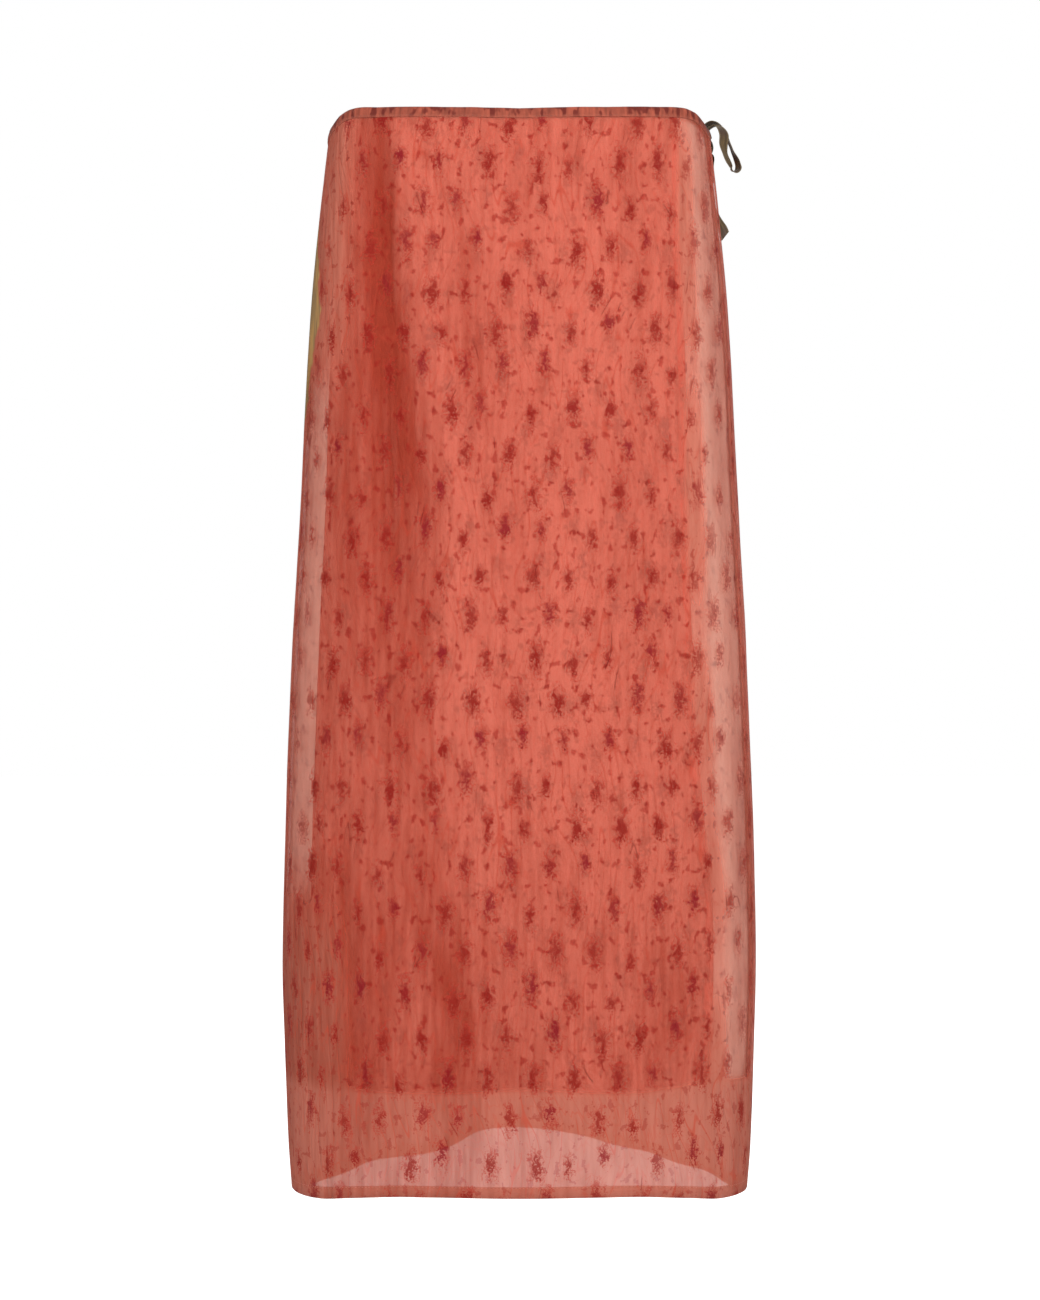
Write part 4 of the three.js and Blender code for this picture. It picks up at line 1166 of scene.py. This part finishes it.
def make_ribbon(name, stations, material, seed, slant):
    """A soft ribbon along its stations, cupped a little across. slant cuts its far end aslant."""
    steps = 26 * (len(stations) - 1) // 3
    path = spline([(s.x, s.y, s.z) for s in stations], steps) + knot_centre()
    widths = spline([unit(np.array([s.wx, s.wy, s.wz])) * s.width for s in stations], steps)
    along = unit(np.gradient(path, axis=0))
    wide = np.linalg.norm(widths, axis=1)
    face = unit(np.cross(widths, along))
    across = unit(np.cross(along, face))
    sides = np.linspace(0.5, -0.5, RIBBON_COLUMNS)
    run = run_along(path)
    points = []
    for i in range(steps):
        cup = RIBBON_CUP * (1 - (2 * sides) ** 2) * (1 + 0.5 * math.sin(run[i] / 0.009 + seed))
        squeeze = (FULL - wide[i]) / FULL
        pleat = squeeze * RIBBON_PLEAT * np.cos(sides * 4 * math.pi)
        wave = RIBBON_WAVE * noise(sides * wide[i], np.full_like(sides, run[i]), 0.004, 0.007, seed)
        slide = slant * FULL * sides * max(0.0, 1 - (run[-1] - run[i]) / SLANT_RUN)
        points.append(
            path[i] + np.outer(sides * wide[i], across[i]) + np.outer(cup + pleat + wave, face[i])
            + np.outer(slide, along[i]))
    uv = np.stack(np.broadcast_arrays(sides[None, :] * FULL, -run[:, None]), axis=-1)
    obj = add_object(name + "_ribbon", grid_mesh(name + "_ribbon", np.array(points), uv), material)
    give_thickness(obj, RIBBON_THICKNESS)
    finish_piece(obj, "ribbon", name)
    return obj, (FULL, float(run[-1]))


KNOT_STEPS = 48
KNOT_CROWN = 0.0006
KNOT_FURROW = 0.00035
KNOT_RUN = 0.03
CORE_RINGS = 8
CORE_COLUMNS = 14
CORE_HALF = (0.0016, 0.0036, 0.0048)

# Turns of ribbon round the knot: tilt and lean of the turn, its half depth and half height, and
# its width.
Turn = namedtuple("Turn", "tilt lean depth height width")
KNOT_TURNS = rows(
    Turn, (8.0, 0.0, 0.0025, 0.006, 0.0082), (-34.0, 12.0, 0.0021, 0.0054, 0.006),
    (42.0, -10.0, 0.0018, 0.005, 0.0056))


def make_knot(material):
    """The knot: turns of ribbon pulled tight round each other over a small core."""
    centre = knot_centre()
    sides = np.linspace(0.5, -0.5, RIBBON_COLUMNS)
    crown = KNOT_CROWN * (1 - (2 * sides) ** 2)
    meshes = []
    for number, turn in enumerate(KNOT_TURNS):
        tilt = math.radians(turn.tilt)
        lean = math.radians(turn.lean)
        axis = unit(np.array([math.sin(lean), math.cos(tilt), math.sin(tilt)]))
        up = unit(np.cross(np.array([1.0, 0.0, 0.0]), axis))
        outwards = np.cross(axis, up)
        points = []
        for i in range(KNOT_STEPS):
            t = 2 * math.pi * i / KNOT_STEPS
            ring = outwards * turn.depth * math.cos(t) + up * turn.height * math.sin(t)
            furrow = KNOT_FURROW * np.cos(sides * 5 * math.pi + 0.8 * math.sin(t))
            swell = unit(ring)[None, :] * (crown + furrow)[:, None]
            narrow = turn.width * (1 - 0.18 * math.cos(2 * t))
            points.append(centre + ring + swell + np.outer(sides * narrow, axis))
        run = np.linspace(0, KNOT_RUN, KNOT_STEPS)
        uv = np.stack(np.broadcast_arrays(sides[:, None] * FULL, run[None, :]), axis=-1)
        mesh = grid_mesh(f"turn_{number}", np.array(points).transpose(1, 0, 2), uv, wrap=True)
        turn_outwards(mesh, centre)
        meshes.append(mesh)
    obj = add_object("tie_knot_turns", meshes[0], material)
    for mesh in meshes[1:]:
        join_mesh(obj, mesh, material)
    give_thickness(obj, RIBBON_THICKNESS)
    join_mesh(obj, core_mesh(centre), material)
    finish_piece(obj, "ribbon", "tie_knot")
    return obj


def turn_outwards(mesh, centre):
    """Flips a ring of cloth whose faces look at its own centre."""
    face = mesh.polygons[len(mesh.polygons) // 2]
    if face.normal.dot(face.center - Vector(centre)) < 0:
        mesh.flip_normals()


def core_mesh(centre):
    """A small closed core that fills the knot."""
    turn = np.linspace(0, 2 * math.pi, CORE_COLUMNS, endpoint=False)
    points = []
    for i in range(1, CORE_RINGS):
        polar = math.pi * i / CORE_RINGS
        height = np.full(CORE_COLUMNS, math.cos(polar))
        ball = np.stack([math.sin(polar) * np.cos(turn), math.sin(polar) * np.sin(turn), height], axis=-1)
        points.extend((centre + ball * CORE_HALF).tolist())
    top = len(points)
    pole = np.array([0, 0, CORE_HALF[2]])
    points += [(centre + pole).tolist(), (centre - pole).tolist()]
    last = top - CORE_COLUMNS
    pairs = [(j, (j + 1) % CORE_COLUMNS) for j in range(CORE_COLUMNS)]
    faces = [
        (i + j, i + CORE_COLUMNS + j, i + CORE_COLUMNS + k, i + k)
        for i in range(0, last, CORE_COLUMNS) for j, k in pairs]
    for j, k in pairs:
        faces += [(top, j, k), (top + 1, last + k, last + j)]
    mesh = bpy.data.meshes.new("core")
    mesh.from_pydata(points, [], faces)
    layer = mesh.uv_layers.new(name=CLOTH_MAP)
    layer.data.foreach_set("uv", np.zeros(len(layer.data) * 2))
    return mesh


def apply_modifiers(obj):
    """Turns what the modifiers make into the object's plain mesh."""
    depsgraph = bpy.context.evaluated_depsgraph_get()
    mesh = bpy.data.meshes.new_from_object(obj.evaluated_get(depsgraph))
    obj.modifiers.clear()
    obj.data = mesh


def join_mesh(obj, mesh, material):
    """Adds a loose mesh to an object, with its modifiers applied first."""
    apply_modifiers(obj)
    other = add_object("part", mesh, material)
    both = [obj, other]
    with bpy.context.temp_override(
            active_object=obj, object=obj, selected_objects=both, selected_editable_objects=both):
        bpy.ops.object.join()


# ---- Stitches ----
STITCH_WOBBLE = 0.10
HEM_STITCH_INSET = 0.0008
BAND_STITCH_SHARE = 0.86
BAND_STITCH_OUT = 0.0007
# Distance between a line's points, degrees left free at its ends, and the share left at its foot.
LINE_STEP = 0.003
LINE_END = 0.4
LINE_FOOT = 0.003


def stitch_tree():
    """Geometry nodes that lay stitches along the lines of a mesh."""
    tree = bpy.data.node_groups.new("Stitch line", "GeometryNodeTree")
    sockets = {}
    tree.interface.new_socket(name="Lines", in_out="INPUT", socket_type="NodeSocketGeometry")
    for name, kind in (
            ("Spacing", "Float"), ("Stitch Length", "Float"), ("Thread", "Float"), ("Seed", "Int"),
            ("Material", "Material")):
        sockets[name] = tree.interface.new_socket(name=name, in_out="INPUT", socket_type="NodeSocket" + kind)
    tree.interface.new_socket(name="Stitches", in_out="OUTPUT", socket_type="NodeSocketGeometry")
    nodes = Nodes(tree)
    given = nodes.add("NodeGroupInput").outputs
    curve = nodes.add("GeometryNodeMeshToCurve", None, {"Mesh": given["Lines"]})
    spots = nodes.add("GeometryNodeCurveToPoints", {"mode": "LENGTH"}, {
        "Curve": curve.outputs["Curve"], "Length": given["Spacing"]}).outputs
    wobble = nodes.add("FunctionNodeRandomValue", {"data_type": "FLOAT_VECTOR"}, {
        "Min": (-STITCH_WOBBLE,) * 3, "Max": (STITCH_WOBBLE,) * 3, "Seed": given["Seed"]})
    heading = nodes.vector("ADD", spots["Tangent"], wobble.outputs["Value"])
    turned = nodes.add("FunctionNodeAlignRotationToVector", {"axis": "X"}, {"Vector": heading})
    ball = nodes.add("GeometryNodeMeshUVSphere", None, {"Segments": 6, "Rings": 4, "Radius": 0.5})
    size = nodes.add("ShaderNodeCombineXYZ", None, {
        "X": given["Stitch Length"], "Y": given["Thread"], "Z": given["Thread"]})
    laid = nodes.add("GeometryNodeInstanceOnPoints", None, {
        "Points": spots["Points"],
        "Instance": ball.outputs["Mesh"],
        "Rotation": turned.outputs["Rotation"],
        "Scale": size.outputs["Vector"],
    })
    real = nodes.add("GeometryNodeRealizeInstances", None, {"Geometry": laid.outputs["Instances"]})
    finished = nodes.add("GeometryNodeSetMaterial", None, {
        "Geometry": real.outputs["Geometry"], "Material": given["Material"]})
    nodes.add("NodeGroupOutput", None, {"Stitches": finished.outputs["Geometry"]})
    return tree, {name: socket.identifier for name, socket in sockets.items()}


def line_on_panel(panel, angles, shares):
    """Points that lie just above a panel."""
    above = -0.3 * settings().stitches.thread / PLY_GAP
    return cloth_points(panel, angles, shares, above)[0].reshape(-1, 3)


def hem_line(name):
    """Points along the top of a panel's hem turn."""
    panel = PANELS[name]
    share = (panel.length - panel.hem_turn + HEM_STITCH_INSET) / LENGTH
    angles = even_angles(panel.start + LINE_END, panel.end - LINE_END, LINE_STEP, share)
    return line_on_panel(panel, angles[None, :], np.full((1, len(angles)), share))


def edge_line(name, inset):
    """Points down a panel's turned free edge, an inset in degrees from the turn's raw edge."""
    panel = PANELS[name]
    shares = np.linspace(
        BAND_HEIGHT * 1.4 / LENGTH, panel.length / LENGTH - LINE_FOOT, int(panel.length / LINE_STEP))
    angles = np.full((len(shares), 1), panel.end - panel.end_turn + inset)
    return line_on_panel(panel, angles, shares[:, None])


def band_line(start, end):
    """Points along the lower edge of the waistband."""
    angles = even_angles(start + LINE_END, end - LINE_END, LINE_STEP, 0.0)
    shares = np.full_like(angles, BAND_STITCH_SHARE * BAND_HEIGHT / LENGTH)
    return skirt_points(angles, shares, BAND_STITCH_OUT)


def make_stitches(name, slot, material, lines, tree, inputs):
    """Stitches along some lines, as one plain mesh."""
    sizes = settings().stitches
    points = []
    edges = []
    for line in lines:
        first = len(points)
        points.extend(line.tolist())
        edges.extend((i, i + 1) for i in range(first, len(points) - 1))
    mesh = bpy.data.meshes.new(name)
    mesh.from_pydata(points, edges, [])
    obj = bpy.data.objects.new(name, mesh)
    bpy.context.scene.collection.objects.link(obj)
    maker = obj.modifiers.new("Stitches", "NODES")
    maker.node_group = tree
    for label, value in (
            ("Spacing", sizes.spacing), ("Stitch Length", sizes.length), ("Thread", sizes.thread),
            ("Seed", sizes.seed), ("Material", material)):
        maker[inputs[label]] = value
    apply_modifiers(obj)
    obj.data.polygons.foreach_set("use_smooth", np.ones(len(obj.data.polygons), dtype=bool))
    finish_piece(obj, slot)


# ---- Operators ----
class SKIRT_OT_stage(bpy.types.Operator):
    """Makes the floor, the soft lights, the white surroundings and the camera"""
    bl_idname = "skirt.stage"
    bl_label = "Stage"

    def execute(self, context):
        stage = settings().stage
        scene = context.scene
        scene.view_settings.view_transform = "Standard"
        add_camera(scene, stage)
        add_surroundings(scene, stage.ambient)
        add_floor(stage.floor_drop)
        middle = Vector((0.0, 0.0, stage.camera_height))
        upper = Vector((0.0, 0.0, 0.4 * stage.camera_height))
        add_light("Key light", (1.3, -2.4, 0.95), upper, (1.6, 1.8), stage.key_power)
        add_light("Fill light", (-1.6, -2.4, 0.8), upper, (1.6, 1.8), stage.fill_power)
        add_light("Back light", (0.4, 2.6, 0.4), middle, (2.4, 2.4), stage.back_power)
        return {"FINISHED"}


CAMERA_ASIDE = 0.0005


def add_camera(scene, stage):
    data = bpy.data.cameras.new("Camera")
    data.lens = stage.lens
    data.sensor_width = 36.0
    data.clip_end = 50.0
    camera = bpy.data.objects.new("Camera", data)
    camera.location = (CAMERA_ASIDE, -stage.camera_distance, stage.camera_height)
    camera.rotation_euler = (math.radians(90), 0, 0)
    scene.collection.objects.link(camera)
    scene.camera = camera


def add_surroundings(scene, ambient):
    """White all round, which lights the cloth less brightly than it looks."""
    world = bpy.data.worlds.new("White surroundings")
    world.use_nodes = True
    world.node_tree.nodes.clear()
    nodes = Nodes(world.node_tree)
    seen = nodes.add("ShaderNodeLightPath").outputs["Is Camera Ray"]
    lighting, bright = (
        nodes.add("ShaderNodeBackground", None, {"Color": WHITE, "Strength": strength}).outputs[0]
        for strength in (ambient, 1.0))
    nodes.add("ShaderNodeOutputWorld", None, {"Surface": nodes.blend(seen, lighting, bright)})
    scene.world = world


def add_floor(drop):
    """A plain pale floor, wide enough to reach the horizon."""
    half = 12.0
    corners = [(-half, -half, -drop), (half, -half, -drop), (half, half, -drop), (-half, half, -drop)]
    mesh = bpy.data.meshes.new("Floor")
    mesh.from_pydata(corners, [], [(0, 1, 2, 3)])
    material, nodes = new_material("Pale floor")
    seen = nodes.add("ShaderNodeLightPath").outputs["Is Camera Ray"]
    nodes.finish(nodes.surface((0.7, 0.7, 0.7, 1), 0.9, {
        "Emission Color": WHITE, "Emission Strength": nodes.times(seen, 0.9)}))
    floor = add_object("Floor", mesh, material)


def add_light(name, place, target, size, power):
    data = bpy.data.lights.new(name, "AREA")
    data.shape = "RECTANGLE"
    data.size, data.size_y = size
    data.energy = power
    light = bpy.data.objects.new(name, data)
    light.location = place
    light.rotation_euler = (target - light.location).to_track_quat("-Z", "Y").to_euler()
    bpy.context.scene.collection.objects.link(light)


class SKIRT_OT_outer(bpy.types.Operator):
    """Makes the sheer printed front and back that lie on top"""
    bl_idname = "skirt.outer"
    bl_label = "Outer Cloth"

    def execute(self, context):
        coral = settings().colours.coral
        silk = printed_silk(
            "Sheer printed silk", coral, 1.0, OUTER_DENSITY, OUTER_SHIFT, OUTER_DOUBLED, dyed=True)
        for name, rests in (("outer_front", "under_front"), ("outer_back", "lining_back")):
            cloth, flat, area = make_panel(name, silk)
        return {"FINISHED"}


class SKIRT_OT_under(bpy.types.Operator):
    """Makes the shorter printed wrap under the front"""
    bl_idname = "skirt.under"
    bl_label = "Under Wrap"

    def execute(self, context):
        deep = settings().colours.deep_coral
        silk = printed_silk("Under printed silk", deep, 1.10, UNDER_DENSITY, UNDER_SHIFT, UNDER_DOUBLED)
        cloth, flat, area = make_panel("under_front", silk)
        return {"FINISHED"}


class SKIRT_OT_lining(bpy.types.Operator):
    """Makes the pale lining"""
    bl_idname = "skirt.lining"
    bl_label = "Lining"

    def execute(self, context):
        silk = lining_silk()
        for name, rests in (("lining_front", "waistband_front"), ("lining_back", "waistband_back")):
            cloth, flat, area = make_panel(name, silk)
        return {"FINISHED"}


class SKIRT_OT_waistband(bpy.types.Operator):
    """Makes the gathered binding round the waist"""
    bl_idname = "skirt.waistband"
    bl_label = "Waistband"

    def execute(self, context):
        silk = band_silk()
        make_waistband("waistband_front", LEFT_SEAM, RIGHT_SEAM, 0, silk)
        make_waistband("waistband_back", RIGHT_SEAM, LEFT_SEAM + 360, 180, silk)
        return {"FINISHED"}


class SKIRT_OT_ties(bpy.types.Operator):
    """Makes the ribbon bow: the knot, two loops and two ends"""
    bl_idname = "skirt.ties"
    bl_label = "Ribbon Bow"

    def execute(self, context):
        satin = ribbon_satin()
        knot = make_knot(satin)
        for seed, (name, stations) in enumerate(RIBBONS.items(), start=81):
            slant = TAIL_SLANT if "tail" in name else 0.0
            ribbon, flat = make_ribbon(name, stations, satin, seed, slant)
        return {"FINISHED"}


class SKIRT_OT_stitches(bpy.types.Operator):
    """Sews the hems, the free edges and the waistband"""
    bl_idname = "skirt.stitches"
    bl_label = "Stitches"

    def execute(self, context):
        colours = settings().colours
        coral = thread_material("Coral thread", colour(colours.coral, 0.85))
        pale = thread_material("Pale thread", colour(colours.lining, 0.9))
        rose = thread_material("Rose thread", colour(colours.band, 0.9))
        tree, inputs = stitch_tree()
        for name, slot, thread, lines in (
                ("stitches_outer", "sheer_print", coral, [
                    hem_line("outer_front"), hem_line("outer_back"), edge_line("outer_front", 0.4)]),
                ("stitches_under", "under_print", coral, [
                    hem_line("under_front"), edge_line("under_front", 0.3)]),
                ("stitches_lining", "lining", pale, [hem_line("lining_front"), hem_line("lining_back")]),
                ("stitches_waistband", "waistband", rose, [
                    band_line(LEFT_SEAM, RIGHT_SEAM), band_line(RIGHT_SEAM, LEFT_SEAM + 360)])):
            make_stitches(name, slot, thread, lines, tree, inputs)
        return {"FINISHED"}


class SKIRT_PT_panel(bpy.types.Panel):
    """Sizes, colours and makers of the skirt"""
    bl_idname = "SKIRT_PT_panel"
    bl_label = "Wrap Skirt"
    bl_space_type = "VIEW_3D"
    bl_region_type = "UI"
    bl_category = "Skirt"

    def draw(self, context):
        layout = self.layout
        skirt = context.scene.skirt
        for group in (skirt.cloth, skirt.colours, skirt.stitches, skirt.stage):
            box = layout.box()
            for name in group.bl_rna.properties.keys():
                if name not in ("rna_type", "name"):
                    box.prop(group, name)
        layout.prop(skirt, "sewing")
        for operator in OPERATORS:
            layout.operator(operator.bl_idname)


OPERATORS = (
    SKIRT_OT_stage,
    SKIRT_OT_outer,
    SKIRT_OT_under,
    SKIRT_OT_lining,
    SKIRT_OT_waistband,
    SKIRT_OT_ties,
    SKIRT_OT_stitches,
)
CLASSES = (SkirtCloth, SkirtColours, SkirtStitches, SkirtStage, SkirtSettings, *OPERATORS, SKIRT_PT_panel)


def register():
    for cls in CLASSES:
        bpy.utils.register_class(cls)
    bpy.types.Scene.skirt = PointerProperty(type=SkirtSettings)


def unregister():
    del bpy.types.Scene.skirt
    for cls in reversed(CLASSES):
        bpy.utils.unregister_class(cls)


def main():
    register()
    bpy.ops.skirt.stage()
    bpy.ops.skirt.outer()
    bpy.ops.skirt.under()
    bpy.ops.skirt.lining()
    bpy.ops.skirt.waistband()
    bpy.ops.skirt.ties()
    if settings().sewing:
        bpy.ops.skirt.stitches()


if __name__ == "__main__":
    main()
